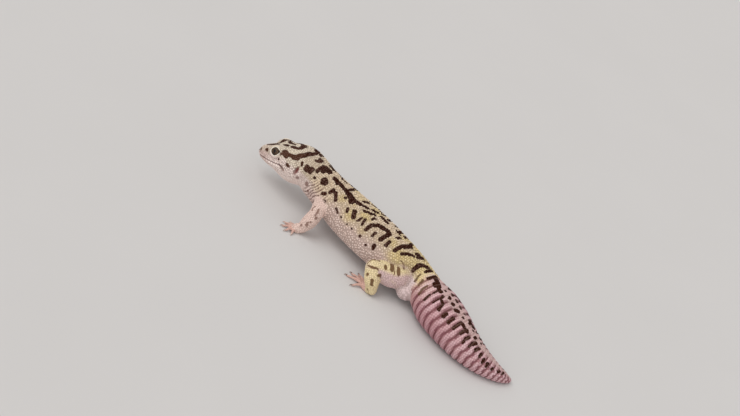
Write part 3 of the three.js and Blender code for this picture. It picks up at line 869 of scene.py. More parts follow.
TAIL_SPOTS = (
    (0.7, (129.8, 2)),
    (0.9, (134.6, 4), (135.1, 7)),
    (1.1, (138.8, 9)),
    (1.1, (142, 12), (142.6, 8)),
    (0.8, (146.3, 4)),
    (0.7, (157, 3), (157, 9)),
    (0.8, (127, -30), (128, -22)),
    (0.9, (132.6, -15), (133.4, -11)),
    (0.9, (136.8, -14), (137.8, -11)),
    (0.8, (140.8, -12), (141.4, -9)),
    (0.6, (144.8, -11)),
    (0.8, (149.8, -12), (150, -7)),
    (0.6, (153.7, -6)),
    (0.5, (161, -3)),
)
# strokes of a paler, browner kind
BROWN_MARKS = (
    (0.6, (1.3, 34), (1.9, 52)),
    (0.35, (102, 53), (104.5, 55), (106, 61)),
    (0.35, (109.2, 96), (108.2, 128)),
    (0.7, (115.2, 36), (116, 48), (116.8, 60)),
    (0.4, (118.8, 38), (119.6, 60)),
    (0.6, (122.8, 38), (123, 55), (123.8, 72)),
)
# strokes on the limbs: half width, then places as millimetres from the root and degrees round
LEG_MARKS = (
    (0.4, (1.5, 51), (1.4, 13), (1.7, -4)),
    (0.8, (4.4, -7), (4.7, -28)),
    (0.7, (7.2, -4), (7.3, -26)),
    (0.95, (10.0, 12), (10.1, -17)),
    (0.65, (13.7, -8), (13.6, -22)),
    (0.65, (16.9, 45), (16.9, 30)),
    (0.7, (17.6, -51)),
    (0.9, (15.0, -80)),
    (0.7, (21.0, 92)),
    (0.65, (20.9, 11)),
    (0.7, (23.6, 52), (25.0, 60)),
    (0.7, (28.5, 113)),
    (0.8, (12, 150)),
    (0.7, (19, -130)),
    (0.7, (24, -60)),
    (0.7, (22, 170)),
    (0.7, (7.5, 90)),
)
ARM_MARKS = (
    (0.4, (9.2, 60), (10.2, 74)),
    (0.55, (10.5, 18)),
    (0.7, (11.4, -2)),
    (0.75, (16.2, 18)),
    (0.4, (14.8, 10)),
    (0.6, (19.6, 30)),
    (0.6, (13, 110)),
    (0.6, (17, -90)),
)
# yellow: radius in millimetres and strength, then the place
YELLOW = (
    (4, 0.7, 56, 42),
    (5, 0.6, 61, -25),
    (5, 0.8, 72, 30),
    (6, 0.7, 67, 62),
    (4, 0.6, 77, 66),
    (5, 0.7, 92, 30),
    (7, 1.0, 100, 50),
    (7, 1.0, 106, 30),
    (6, 1.0, 110, -20),
    (5, 1.0, 113, 22),
    (5, 0.8, 117, 46),
)


def stroke_distance(distance, angle, girth, stroke):
    """Millimetres from a stroke's edge, negative inside it. Girth is millimetres per degree."""
    width, *places = stroke
    if len(places) == 1:
        places = places * 2
    best = np.full(len(distance), 1e3)
    for (s0, a0), (s1, a1) in zip(places, places[1:]):
        way, climb = s1 - s0, (a1 - a0) * girth
        dx, dy = distance - s0, ((angle - a0 + 180) % 360 - 180) * girth
        share = np.clip((dx * way + dy * climb) / np.maximum(way**2 + climb**2, 1e-6), 0, 1)
        best = np.minimum(best, np.hypot(dx - share * way, dy - share * climb))
    return best - width


def mirrored(strokes, back):
    """Strokes on the other side, a little further back."""
    return [(width, *[(s + back, -a) for s, a in places]) for width, *places in strokes]


DARK_MARKS = [*CROWN_MARKS, *HEAD_MARKS, *FLANK_MARKS, *BACK_MARKS, *TAIL_HOOKS, *TAIL_SPOTS]
DARK_MARKS += mirrored(HEAD_MARKS, 0.3) + mirrored(FLANK_MARKS, 1.2) + mirrored(TAIL_HOOKS, 0)
BROWN_MARKS = [*BROWN_MARKS, *mirrored(BROWN_MARKS, 0.4)]


def nearest_stroke(distance, angle, girth, strokes):
    """Millimetres from the edge of the nearest stroke, up to 4."""
    best = np.full(len(distance), 4.0)
    for stroke in strokes:
        best = np.minimum(best, stroke_distance(distance, angle, girth, stroke))
    return best


def creased(distance, angle):
    """1 over the sides of the neck, which lie in creases, falling to 0 round them."""
    on_neck = ease(*NECK_CREASE["start"], distance) * (1 - ease(*NECK_CREASE["end"], distance))
    return on_neck * ease(*NECK_CREASE["side"], np.abs(angle))


def neck_creases(distance, angle):
    """1 in the fine creases across the sides of the neck, 0 elsewhere."""
    around = np.abs(angle)
    slanted = distance + (around - 90) * 0.05 + 0.3 * np.sin(around * 0.13) + 0.2 * np.sin(distance * 0.9)
    phase = (slanted / NECK_CREASE["step"] + 0.5) % 1 - 0.5
    return creased(distance, angle) * bell(phase, NECK_CREASE["wide"])


def low_scaled(distance, angle):
    """True where flat scales take the place of tubercles: underneath, on the neck and by the vent."""
    start = np.where(distance < LOW_SCALES["pouch"], LOW_SCALES["belly"], LOW_SCALES["vent"])
    return (np.abs(angle) > start) | (creased(distance, angle) > 0.5)


LIMB_RADIUS = 4.0  # at which the strokes on limbs are laid out


def marked(place):
    """Millimetres from the nearest dark stroke, brown stroke and stroke on a limb."""
    distance, angle = place["along"], place["round"]
    girth = degree_length(distance, angle)
    turned = np.where(place["number"] % 2 == 0, place["turn"], -place["turn"])
    girth_of_limb = np.full(len(distance), math.radians(LIMB_RADIUS))
    on_leg = nearest_stroke(place["reach"], turned, girth_of_limb, LEG_MARKS)
    on_arm = nearest_stroke(place["reach"], turned, girth_of_limb, ARM_MARKS)
    return {
        "mark": nearest_stroke(distance, angle, girth, DARK_MARKS),
        "brown": nearest_stroke(distance, angle, girth, BROWN_MARKS),
        "spot": np.where(place["number"] > 1, on_leg, on_arm),
    }


def whorl_wave(angle):
    """How far the grooves of the tail waver to and fro, in millimetres."""
    return 0.22 * np.sin(np.radians(angle) * 5) + 0.16 * np.sin(np.radians(angle) * 9 + 1)


def whorl_phase(distance, angle):
    """Millimetres from the nearest groove, and the length of the whorl there."""
    distance = distance + whorl_wave(angle)
    whorl = np.clip(np.searchsorted(GROOVES, distance) - 1, 0, WHORLS - 1)
    span = GROOVES[whorl + 1] - GROOVES[whorl]
    return np.minimum(np.abs(distance - GROOVES[whorl]), np.abs(GROOVES[whorl + 1] - distance)), span


def whorl_swell(off_groove, span):
    """0 in the grooves, 1 along the middle of each whorl."""
    return np.sin(np.pi * np.clip(off_groove / span, 0, 0.5))


def yellowed(distance, angle):
    """Strength of the yellow patches, which both sides have."""
    girth = degree_length(distance, angle)
    strongest = np.zeros(len(distance))
    for radius, strength, s, a in YELLOW:
        for side in (1, -1):
            apart = np.hypot(distance - s, (angle - side * a) * girth)
            strongest = np.maximum(strongest, strength * bell(apart, radius))
    return strongest


def painted(points):
    """Everything that the materials read, for points on or near the skin."""
    place = surveyed(points)
    distance, angle, reach = place["along"], place["round"], place["reach"]
    over_body, over_limb = place["over_body"], place["over_limb"]
    on_rear = place["number"] > 1
    past_palm = reach > np.where(on_rear, DIGITS_FROM["rear"], DIGITS_FROM["front"])
    on_digit = (place["finger"] >= 0) | past_palm
    limb = ease(*LIMB_EDGE, over_body - over_limb)
    head = to_head(points)
    off_groove, span = whorl_phase(distance, angle)
    groove = bell(off_groove, FADE["groove"] * span + WHORL_GROOVE["edge"])
    bulge = on_bulge(points)
    mouth = bell(head[:, 2] - mouth_height(head[:, 0]), FADE["mouth"])
    ear = np.minimum(ear_distance(head, 1), ear_distance(head, -1))
    nostril = np.minimum(nostril_distance(points, 1), nostril_distance(points, -1))
    low = low_scaled(distance, angle).astype(float)
    return {
        **marked(place),
        "along": distance,
        "round": angle,
        "yellow": yellowed(distance, angle),
        "limb": limb,
        "reach": reach,
        "under": ease(*UNDER_LEG["sink"], place["sink"]) * (1 - ease(*UNDER_LEG["reach"], reach)),
        "digit": np.where(on_digit, limb, 0) * (limb > 0.5),
        "bulge": bulge * (1 - limb),
        "rear": (on_rear * limb).astype(float),
        "groove": groove * ease(*TAIL_START["groove"], distance) * (1 - limb) * (1 - bulge),
        "swell": whorl_swell(off_groove, span) * ease(*TAIL_START["swell"], distance),
        "join": bell(np.hypot(over_body, over_limb), FADE["join"]) * on_rear,
        "crease": neck_creases(distance, angle) * (1 - limb),
        "smooth": np.maximum.reduce([limb, ease(*TAIL_START["smooth"], distance), low]),
        "mouth": mouth * (1 - ease(*MOUTH_END, head[:, 0])),
        "ear": bell(ear, FADE["ear"], EAR_PIT["steep"]),
        "nostril": bell(nostril, FADE["nostril"]),
    }


def unwrapped(points):
    """Places of skin points on a flat map of the skin's own shape, in 0 to 1."""
    place = surveyed(points)
    on_limb = place["over_body"] > place["over_limb"]
    body = np.stack([0.01 + 0.98 * place["along"] / LENGTH, 0.01 + 0.6 * (place["round"] + 180) / 360], 1)
    strip = 0.64 + 0.09 * place["number"] + 0.08 * (place["turn"] + 180) / 360
    limb = np.stack([0.01 + 0.5 * place["reach"] / LIMB_REACH + 0.08 * (place["finger"] + 1), strip], 1)
    return np.where(on_limb[:, None], limb, body)


# ==== meshes ==========================================================================
def piece(name, points, faces, fields, material, map_places=None):
    """A smooth mesh in the part's own frame that rides on the gecko and carries its fields."""
    mesh = bpy.data.meshes.new(name)
    mesh.from_pydata(to_part(points).tolist(), [], faces)
    mesh.polygons.foreach_set("use_smooth", np.ones(len(mesh.polygons), bool))
    for field, values in fields.items():
        layer = mesh.attributes.new(field, "FLOAT", "POINT")
        layer.data.foreach_set("value", np.asarray(values, np.float32))
    if map_places is not None:
        corners = np.empty(len(mesh.loops), int)
        mesh.loops.foreach_get("vertex_index", corners)
        layer = mesh.uv_layers.new(name="OFBake")
        layer.data.foreach_set("uv", map_places[corners].astype(np.float32).ravel())
    mesh.materials.append(material)
    made = put(name, mesh)
    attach(made, "root")
    return made


def dome(rings, sides, squareness=2.0):
    """A closed-topped low dome from radius and height rings: points, faces padded to four, tip shares."""
    turn = np.linspace(0, 2 * np.pi, sides, endpoint=False) + np.pi / sides
    x, y = power(np.cos(turn), 2 / squareness), power(np.sin(turn), 2 / squareness)
    points = [np.stack([r * x, r * y, np.full(sides, h)], 1) for r, h in rings]
    points.append(np.array([[0, 0, rings[-1][1] + 0.12]]))
    faces = []
    for ring in range(len(rings) - 1):
        for k in range(sides):
            a, b = ring * sides + k, ring * sides + (k + 1) % sides
            faces.append([a, b, b + sides, a + sides])
    top, last = len(rings) * sides, (len(rings) - 1) * sides
    for k in range(0, sides, 2):
        faces.append([last + k, last + (k + 1) % sides, last + (k + 2) % sides, top])
    points = np.concatenate(points)
    return points, np.array(faces), np.clip(points[:, 2], 0, 1)


TUBERCLE = dome(((1.0, -0.3), (0.86, 0.3), (0.5, 0.78), (0.2, 0.96)), 8)
PEBBLE = dome(((1.0, -0.4), (0.8, 0.55), (0.38, 0.94)), 6)
PLATE = dome(((1.0, -0.5), (0.93, 0.5), (0.72, 0.95)), 8, 3.6)
MAP_REACH = 0.0015  # half width of one scale's patch on the flat map
MARK_STEP = 0.2  # millimetres over which the markings' slopes are measured
EACH_SEED = 7  # for the shade of each scale


def coat(name, roots, normals, aheads, sizes, shape, material):
    """Many scales joined in one mesh. sizes are half length, half width and height."""
    points, faces, tip = shape
    normals = unit(normals)
    aheads = unit(aheads - normals * (aheads * normals).sum(1, keepdims=True))
    across = np.cross(normals, aheads)
    sizes = np.asarray(sizes, float)
    spread = (
        aheads[:, None] * (points[None, :, 0:1] * sizes[:, None, 0:1])
        + across[:, None] * (points[None, :, 1:2] * sizes[:, None, 1:2])
        + normals[:, None] * (points[None, :, 2:3] * sizes[:, None, 2:3])
    )
    placed = (roots[:, None] + spread).reshape(-1, 3)
    placed[:, 2] = np.maximum(placed[:, 2], 0.0)
    count = len(points)
    joined = (faces[None] + count * np.arange(len(roots))[:, None, None]).reshape(-1, 4)
    flat = painted(roots)
    fields = {k: np.repeat(v, count) for k, v in flat.items()}
    # the edges of the markings cross the scales
    beyond = marked(surveyed(roots + aheads * MARK_STEP))
    beside = marked(surveyed(roots + across * MARK_STEP))
    for field in beyond:
        value = flat[field]
        forth = (beyond[field] - value)[:, None] / MARK_STEP * points[None, :, 0] * sizes[:, 0:1]
        sideways = (beside[field] - value)[:, None] / MARK_STEP * points[None, :, 1] * sizes[:, 1:2]
        fields[field] = (value[:, None] + forth + sideways).ravel()
    fields["tip"] = np.tile(tip, len(roots))
    fields["each"] = np.repeat(np.random.default_rng(EACH_SEED).random(len(roots)), count)
    places = unwrapped(roots)[:, None] + points[None, :, :2] * MAP_REACH
    piece(name, placed, joined, fields, material, places.reshape(-1, 2))


# ==== scales ==========================================================================
SEED = {"tubercles": 3, "head": 11, "belly": 12, "limbs": 13, "head_size": 5, "limb_size": 6}
TUBERCLE_STEP = 1.12  # millimetres from row to row on the trunk
TUBERCLES = {"apart": 1.3, "shake_along": 0.17, "shake_round": 0.14, "size": (0.36, 0.56), "round": 120}
TRUNK = (27.0, 117.0)  # from the nape to the vent, behind the snout
CAST = 30  # farther than the skin is from the body's axis
# from pebble to pebble: on the snout, more on the cheeks, under the belly, on limbs, less on digits
PEBBLE_STEP = {"head": 0.62, "cheek": 0.25, "belly": 0.86, "limb": 0.85, "digit": -0.3}
# rows of lip scales: height over the mouth, length and half height of a scale
LIP_ROWS = ((0.78, 1.62, 0.58), (-0.82, 1.75, 0.6))
LIP_RISE = 0.14  # how far they stand up
LIPS = {"high": 1.25, "start": -1, "end": 18}  # the band that pebbles leave free
PLATES = {"wide": 1.28, "high": 0.1, "rim_high": 0.17}  # the last row of a whorl stands higher


def sprinkled(candidates, spacing, seed):
    """Indices of candidates that keep at least their spacing from each other."""
    order = np.random.default_rng(seed).permutation(len(candidates))
    tree = KDTree(len(candidates))
    for k, point in enumerate(candidates):
        tree.insert(point, k)
    tree.balance()
    free = np.ones(len(candidates), bool)
    chosen = []
    for k in order:
        if free[k]:
            chosen.append(k)
            for _, other, _ in tree.find_range(candidates[k], spacing[k]):
                free[other] = False
    return np.array(chosen)


def skin_places(points, quads, normals):
    """Middles and normals of the skin's faces, with all that the materials read there."""
    centres = points[quads].mean(1)
    return {"centre": centres, "normal": normals[quads].mean(1), **painted(centres)}


def thinned(places, kept, spacing, seed):
    """The kept places, thinned out until they keep their spacing from each other, and that spacing."""
    chosen = np.flatnonzero(kept)[sprinkled(places["centre"][kept], spacing[kept], seed)]
    return {k: v[chosen] for k, v in places.items()}, spacing[chosen]


def outward(tree, distance, angle, slack, wave=0.0):
    """Point and normal of the skin straight out from the body's axis, or None where a limb is in the way."""
    left, up = course_value(LEFT, distance), course_value(UP, distance)
    start = course_value(COURSE, distance) - np.cross(left, up) * wave
    way = left * math.sin(angle) + up * math.cos(angle)
    hit, normal, _, far = tree.ray_cast(Vector(start), Vector(way), CAST)
    if hit is None or far > np.interp(distance, REACH, GIRTH) * slack:
        return None
    return hit, normal


def nape_share(distance):
    """Size of the tubercles, which grow from the nape to the shoulders, as a share."""
    return 0.72 + 0.28 * ease(28, 50, distance)


def back_tubercles(tree, material):
    """Rows of raised tubercles over the nape, back and flanks."""
    random = np.random.default_rng(SEED["tubercles"])
    found = []
    distance, row = TRUNK[0], 0
    while distance < TRUNK[1]:
        spacing = TUBERCLE_STEP * float(nape_share(distance))
        step = spacing * TUBERCLES["apart"] / float(np.interp(distance, REACH, GIRTH) * math.pi / 180)
        distance += spacing
        row += 1
        for angle in np.arange((row % 2) * step / 2 - TUBERCLES["round"], TUBERCLES["round"] + 1, step):
            s = distance + random.normal(0, TUBERCLES["shake_along"] * spacing)
            a = math.radians(angle + random.normal(0, TUBERCLES["shake_round"] * step))
            found.append(outward(tree, s, a, 1.22))
    roots, normals = np.array([place for place in found if place]).swapaxes(0, 1)
    fields = painted(roots)
    kept = (fields["limb"] < 0.5) & (fields["ear"] < 0.1)
    kept &= ~low_scaled(fields["along"], fields["round"])
    around = np.abs(fields["round"][kept])
    distance = fields["along"][kept]
    size = TUBERCLE_STEP * random.uniform(*TUBERCLES["size"], len(distance))
    size *= (1 - 0.15 * ease(70, 118, around)) * nape_share(distance)
    tall = size * (0.8 - 0.4 * ease(75, 115, around))
    sizes = np.stack([size * 1.06, size, tall], 1)
    ahead = course_value(TANGENT, distance)
    coat("tubercles", roots[kept], normals[kept], ahead, sizes, TUBERCLE, material)


def head_scales(places, material):
    """Small pebbles over the head, wider on the cheeks than on the snout and round the eyes."""
    head = to_head(places["centre"])
    off_mouth = head[:, 2] - mouth_height(head[:, 0])
    lips = (np.abs(off_mouth) < LIPS["high"]) & (head[:, 0] < LIPS["end"]) & (head[:, 0] > LIPS["start"])
    kept = (places["along"] < 30) & (head[:, 0] < 29) & ~lips
    kept &= (places["ear"] < 0.08) & (places["nostril"] < 0.15)
    for side in (1, -1):
        far, off, turn = about_eye(places["centre"], side)
        kept &= (off > lid_angle(turn) + 17) | (far > 5.5)
    spacing = PEBBLE_STEP["head"] + PEBBLE_STEP["cheek"] * ease(8, 22, places["along"])
    at, spacing = thinned(places, kept, spacing, SEED["head"])
    half = spacing * np.random.default_rng(SEED["head_size"]).uniform(0.5, 0.6, len(spacing))
    sizes = np.stack([half, half, 0.3 * half], 1)
    ahead = np.repeat(HEAD_AXES[:, 0][None], len(half), 0)
    coat("head_scales", at["centre"], at["normal"], ahead, sizes, PEBBLE, material)


def lip_scales(tree, material):
    """A row of flat scales over the mouth and one under it, on both sides, with one at the tip."""
    roots, normals, sizes = [], [], []

    def lay(back, above, way, size):
        hit, normal, _, _ = tree.ray_cast(Vector(head_point(back, 0, above)), Vector(way), CAST)
        roots.append(hit)
        normals.append(normal)
        sizes.append(size)

    for side in (1, -1):
        for above, length, high in LIP_ROWS:
            back = 0.9
            while back < 17.0:
                size = (length * 0.47, high, LIP_RISE)
                lay(back, mouth_height(back) + above, HEAD_AXES[:, 1] * side, size)
                back += length * (0.75 if back < 3 else 1)
    for above in (0.75, -0.8):
        lay(3, mouth_height(0) + above, -HEAD_AXES[:, 0], (0.6, 0.8, LIP_RISE))
    roots, normals = np.array(roots), np.array(normals)
    ahead = np.cross(np.repeat(HEAD_AXES[:, 2][None], len(roots), 0), normals)
    coat("lip_scales", roots, normals, ahead, sizes, PLATE, material)


def belly_scales(places, material):
    """Flat scales under the throat and trunk, on the sides of the neck and by the vent."""
    kept = (places["along"] > 29) & (places["along"] < TRUNK[1]) & (places["limb"] < 0.5)
    kept &= low_scaled(places["along"], places["round"])
    at, _ = thinned(places, kept, np.full(len(kept), PEBBLE_STEP["belly"]), SEED["belly"])
    sizes = np.repeat([[0.52, 0.48, 0.1]], len(at["along"]), 0)
    ahead = course_value(TANGENT, at["along"])
    coat("belly_scales", at["centre"], at["normal"], ahead, sizes, PEBBLE, material)


def tail_scales(tree, material):
    """Rows of small plates round each whorl of the tail."""
    found, sizes, rows_at = [], [], []
    for groove, span in zip(GROOVES, np.diff(GROOVES)):
        rows = 3 if span > 3 else 2
        for row in range(rows):
            s = groove + span * (0.14 + 0.8 * (row + 0.5) / rows)
            if s > LENGTH - 1.2:
                continue
            girth = np.interp(s, REACH, GIRTH)
            around = max(8, round(2 * math.pi * girth / PLATES["wide"]))
            high = PLATES["rim_high" if row == rows - 1 else "high"]
            for turn in range(around):
                a = 2 * math.pi * (turn + 0.5 * (row % 2)) / around
                place = outward(tree, s, a, 1.3, float(whorl_wave(math.degrees(a))))
                if place is None or place[0].z < 0.35:
                    continue
                found.append(place)
                sizes.append((0.42 * span / rows, math.pi * girth / around * 0.9, high))
                rows_at.append(course_row(s))
    roots, normals = np.array(found).swapaxes(0, 1)
    ahead = TANGENT[np.array(rows_at).astype(int)]
    coat("tail_scales", roots, normals, ahead, sizes, PLATE, material)


def limb_scales(places, material):
    """Pebbles over the limbs, smallest on the digits, with bare soles."""
    kept = (places["limb"] >= 0.5) & (places["centre"][:, 2] > 0.45)
    spacing = PEBBLE_STEP["limb"] + PEBBLE_STEP["digit"] * ease(22, 28, places["reach"])
    at, spacing = thinned(places, kept, spacing, SEED["limbs"])
    half = spacing * np.random.default_rng(SEED["limb_size"]).uniform(0.48, 0.58, len(spacing))
    sizes = np.stack([half * 1.1, half, 0.32 * half], 1)
    ahead = np.repeat([[0.2, 0.1, -1.0]], len(half), 0)
    coat("limb_scales", at["centre"], at["normal"], ahead, sizes, PEBBLE, material)


# ==== eyes and claws ==================================================================
def eyeball(side, name, material):
    """An eyeball turned about its gaze, with a raised cornea over the iris."""
    off = np.concatenate([np.linspace(1, 70, 36), np.linspace(74, 179, 26)])[:, None]
    turn = np.linspace(0, 2 * np.pi, 72, endpoint=False)
    radius = EYE["radius"] + 0.14 * bell(off, 42, 4)
    shells = Shells()
    shells.loft(eye_axes(side)[0] + about_gaze(side, np.radians(off), turn) * radius[..., None])
    points, faces = shells.arrays()
    _, angle, spin = about_eye(points, side)
    fields = {"off": angle, "across": angle * np.cos(spin), "rise": angle * np.sin(spin)}
    made = piece(f"eyeball_{name}", points, faces, fields, material)
    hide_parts(f"eye_{name}")


LID_PROFILE = (
    # degrees outside the opening, millimetres over the eyeball
    (-2.5, -0.3),
    (-1.5, 0.06),
    (0.0, 0.3),
    (2.5, 0.42),
    (5.5, 0.36),
    (8.0, 0.26),
    (11.0, 0.4),
    (15.0, 0.46),
    (19.0, 0.3),
    (23.0, 0.36),
    (28.0, 0.1),
    (31.0, -0.3),
)


def eyelids(side, name, material):
    """Two folds of lid round the opening, the inner one edged with small pale scales."""
    turn = np.linspace(0, 2 * np.pi, 120, endpoint=False)
    outside, high = along(LID_PROFILE, np.linspace(0, len(LID_PROFILE) - 1, 48)).T[..., None]
    off = np.radians(lid_angle(turn)[None] + outside)
    radius = EYE["radius"] + high + 0.045 * np.cos(turn * 30) * bell(outside - 2.5, 2.5)
    way = about_gaze(side, off, turn)
    points = (eye_axes(side)[0] + way * radius[..., None]).reshape(-1, 3)
    fields = painted(points)
    fields["mark"] = fields["mark"] + 1.2  # markings keep off the lids
    fields["lid"] = np.repeat(outside.ravel(), len(turn))
    piece(f"eyelids_{name}", points, ring_faces(*off.shape), fields, material)


def claws(limb, material):
    """Five hooked claws of one foot."""
    shells = Shells()
    for angle, length in limb["digits"]:
        _, ahead, tip = digit_places(limb, angle, length)
        share = np.linspace(0, 1, 12)
        course = tip + ahead * (share * (CLAW["length"] + FLAT))[:, None]
        course[:, 2] += CLAW["arch"] * np.sin(np.pi * share) - (DIGIT["tip"] - CLAW["low"]) * share**2
        radius = CLAW["root"] * (1 - share) ** 0.6 + CLAW["tip"]
        shells.taper(np.column_stack([course, radius]), 0, len(share) - 1, 23, 14)
    points, faces = shells.arrays()
    away = np.linalg.norm(points[:, :2] - np.array(limb["palm"][:2]), axis=1)
    made = piece(f"claws_{limb['name']}", points, faces, {"away": away}, material)
    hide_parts(*[f"claw_{limb['name']}_{k + 1}" for k in range(len(limb["digits"]))])


# ==== shader expressions ==============================================================
def tone(code):
    """Linear colour of a #RRGGBB code."""
    parts = [int(code[k : k + 2], 16) / 255 for k in (1, 3, 5)]
    return (*[p / 12.92 if p <= 0.04045 else ((p + 0.055) / 1.055) ** 2.4 for p in parts], 1.0)


class Wire:
    """A shader socket that takes part in Python expressions."""

    def __init__(self, tree, socket=None):
        self.tree, self.socket = tree, socket

    def node(self, kind, settings=(), sockets=(), out=0):
        """A new node: its type, its settings, then the values or links of its sockets."""
        made = self.tree.nodes.new("ShaderNode" + kind)
        for name, value in dict(settings).items():
            setattr(made, name, value)
        for name, value in dict(sockets).items():
            if isinstance(value, Wire):
                self.tree.links.new(value.socket, made.inputs[name])
            else:
                made.inputs[name].default_value = value
        return Wire(self.tree, made.outputs[out])

    def math(self, operation, *values):
        return self.node("Math", {"operation": operation}, enumerate(values))

    def __add__(self, other):
        return self.math("ADD", self, other)

    def __sub__(self, other):
        return self.math("SUBTRACT", self, other)

    def __rsub__(self, other):
        return self.math("SUBTRACT", other, self)

    def __mul__(self, other):
        return self.math("MULTIPLY", self, other)

    __radd__ = __add__

    def most(self, other):
        return self.math("MAXIMUM", self, other)

    def size(self):
        return self.math("ABSOLUTE", self)

    def rise(self, low, high):
        """0 below low, 1 above high, smooth between."""
        settings = {"interpolation_type": "SMOOTHSTEP"}
        return self.node("MapRange", settings, {0: self, 1: low, 2: high, 3: 0.0, 4: 1.0})

    def between(self, low, high, soft):
        """1 between low and high, falling to 0 over a soft edge."""
        return self.rise(low - soft, low + soft) * (1 - self.rise(high - soft, high + soft))

    def blend(self, first, second):
        """The first colour where this is 0, the second where it is 1."""
        settings = {"data_type": "RGBA", "clamp_factor": True}
        return self.node("Mix", settings, {0: self, 6: first, 7: second}, 2)

    def field(self, name):
        return self.node("Attribute", {"attribute_name": name}, out=2)

    def shade(self, value, saturation=1.0):
        """This colour made darker or lighter, and paler or fuller."""
        return self.node("HueSaturation", sockets={"Value": value, "Saturation": saturation, "Color": self})

    def bumped(self, strength, depth):
        """The normal of a surface with this height, over a depth in millimetres."""
        return self.node("Bump", sockets={"Strength": strength, "Distance": depth * MM, "Height": self})

    def noise(self, size, detail=2.0, rough=0.5):
        """Noise of -0.5 to 0.5 with features of a size in millimetres."""
        place = self.node("TexCoord", out=3)
        sockets = {"Vector": place, "Scale": 1 / (size * MM), "Detail": detail, "Roughness": rough}
        return self.node("TexNoise", sockets=sockets) - 0.5

    def cells(self, size):
        """Distance from the middles of a net of cells of a size in millimetres."""
        place = self.node("TexCoord", out=3)
        return self.node("TexVoronoi", sockets={"Vector": place, "Scale": 1 / (size * MM)})


def material(name, build, **constants):
    """A material whose Principled sockets take constants, then what build returns for its wires."""
    made = bpy.data.materials.new(name)
    made.use_nodes = True
    tree = made.node_tree
    shader = tree.nodes["Principled BSDF"]
    for socket, value in constants.items():
        shader.inputs[socket.replace("_", " ")].default_value = value
    for socket, wire in build(Wire(tree)).items():
        tree.links.new(wire.socket, shader.inputs[socket])
    return made


# ==== colours =========================================================================
CREAM = tone("#DCC8AE")
HEAD_CREAM = tone("#DFD2BF")
FLANK_GREY = tone("#DDC6BC")
BELLY_PINK = tone("#E0C7BF")
JAW_PINK = tone("#EDDBD4")
MUZZLE_PINK = tone("#CFB4AC")
BULGE_PALE = tone("#D8C4C3")
YELLOW_TONE = tone("#DEC98F")
DARK = tone("#331407")
HEAD_DARK = tone("#40200F")
FAINT_DARK = tone("#7F5A50")
BROWN = tone("#553712")
TAIL_BASE = tone("#DBB9A8")
TAIL_PINK = tone("#CB9A9E")
PLATE_HIGHLIGHT = tone("#DDC0C6")
TAIL_BACK = tone("#C9ABA9")
TAIL_UNDER_SHADE = tone("#B07A82")
GROOVE_SHADE_PLUM = tone("#7A4650")
GROOVE_DARK = tone("#451C20")
ARM_PINK = tone("#E5CCC2")
LEG_YELLOW = tone("#EAD8AC")
LEG_PINK = tone("#D8BDBC")
TOE_PINK = tone("#DDB6AA")
LEG_SPOT = tone("#5C370F")
ARM_SPOT = tone("#6E4A3A")
EAR_RED = tone("#780A12")
CREASE_SHADE = tone("#63443C")
MOUTH_SHADE = tone("#6B4A4A")
NOSTRIL_SHADE = tone("#2A1512")
GRAIN_TAUPE = tone("#94796F")
LID_CREAM = tone("#F3ECDE")
LID_EDGE = tone("#1C0F0C")
IRIS_DARK = tone("#1C0F06")
IRIS_VEIN = tone("#6E5438")
IRIS_SHADE = tone("#24160A")
PUPIL = tone("#050303")
EYE_SIDE = tone("#120A07")
CLAW_ROOT = tone("#D9BDB0")
CLAW_TIP = tone("#7C6258")
PAPER = (tone("#CFCECE"), tone("#D3D2D2"))
ROOM = tone("#DAD7D4")


def trunk_colour(s, around, wide, yellow):
    """Cream above, greyish pink on the flanks, which begin lower on the head and neck."""
    side = around + wide * 30
    back = (s + wide * 4).rise(24, 40).blend(HEAD_CREAM, CREAM)
    flank = (side - (1 - s.rise(36, 60)) * 32).rise(54, 84)
    colour = flank.blend(back, FLANK_GREY)
    colour = (yellow.rise(0.2, 0.85) * 0.8).blend(colour, YELLOW_TONE)
    colour = side.rise(100, 126).blend(colour, BELLY_PINK)
    jaw = (side - s.rise(14, 28) * 26).rise(54, 74)
    colour = ((1 - s.rise(32, 46)) * jaw).blend(colour, JAW_PINK)
    colour = ((1 - s.rise(3.0, 11.0)) * (0.35 + side.rise(46, 70) * 0.5)).blend(colour, MUZZLE_PINK)
    pouch = s.between(104, 118.5, 1.5) * (around + wide * 12).rise(52, 64)
    return pouch.blend(colour, BULGE_PALE)


def tail_share(s, wide):
    """0 on the trunk, 1 on the tail."""
    return (s + wide * 3).rise(116, 120)


def tail_colour(w, s, around, wide):
    """Warm at its root, then pink plates with a painted highlight along their middles, deeper pink painted
    shade low on the first whorls, and a paler back.
    """
    plate = s.rise(120, 133).blend(TAIL_BASE, TAIL_PINK)
    # painted highlight: the middle of each whorl's plates made pale
    plate = (w.field("swell").rise(0.25, 1.0) * (0.55 + wide)).blend(plate, PLATE_HIGHLIGHT)
    # painted shade: a deeper pink low on the sides of the first whorls
    plate = ((1 - s.rise(144, 158)) * around.rise(52, 92) * 0.6).blend(plate, TAIL_UNDER_SHADE)
    return (around + wide * 20).rise(12, 30).blend(TAIL_BACK, plate)


def grooved(w, colour, s, around):
    """Plum in the tail's grooves as painted shade; the grooves are darkest at their upper ends."""
    cut = w.field("groove") * (1 + w.noise(3.0) * 0.9)
    # painted shade: the grooves turned plum below the tail's top
    colour = (cut * around.rise(10, 26) * 0.9).blend(colour, GROOVE_SHADE_PLUM)
    return (cut * s.rise(126, 132) * around.between(18, 56, 8) * 0.6).blend(colour, GROOVE_DARK)


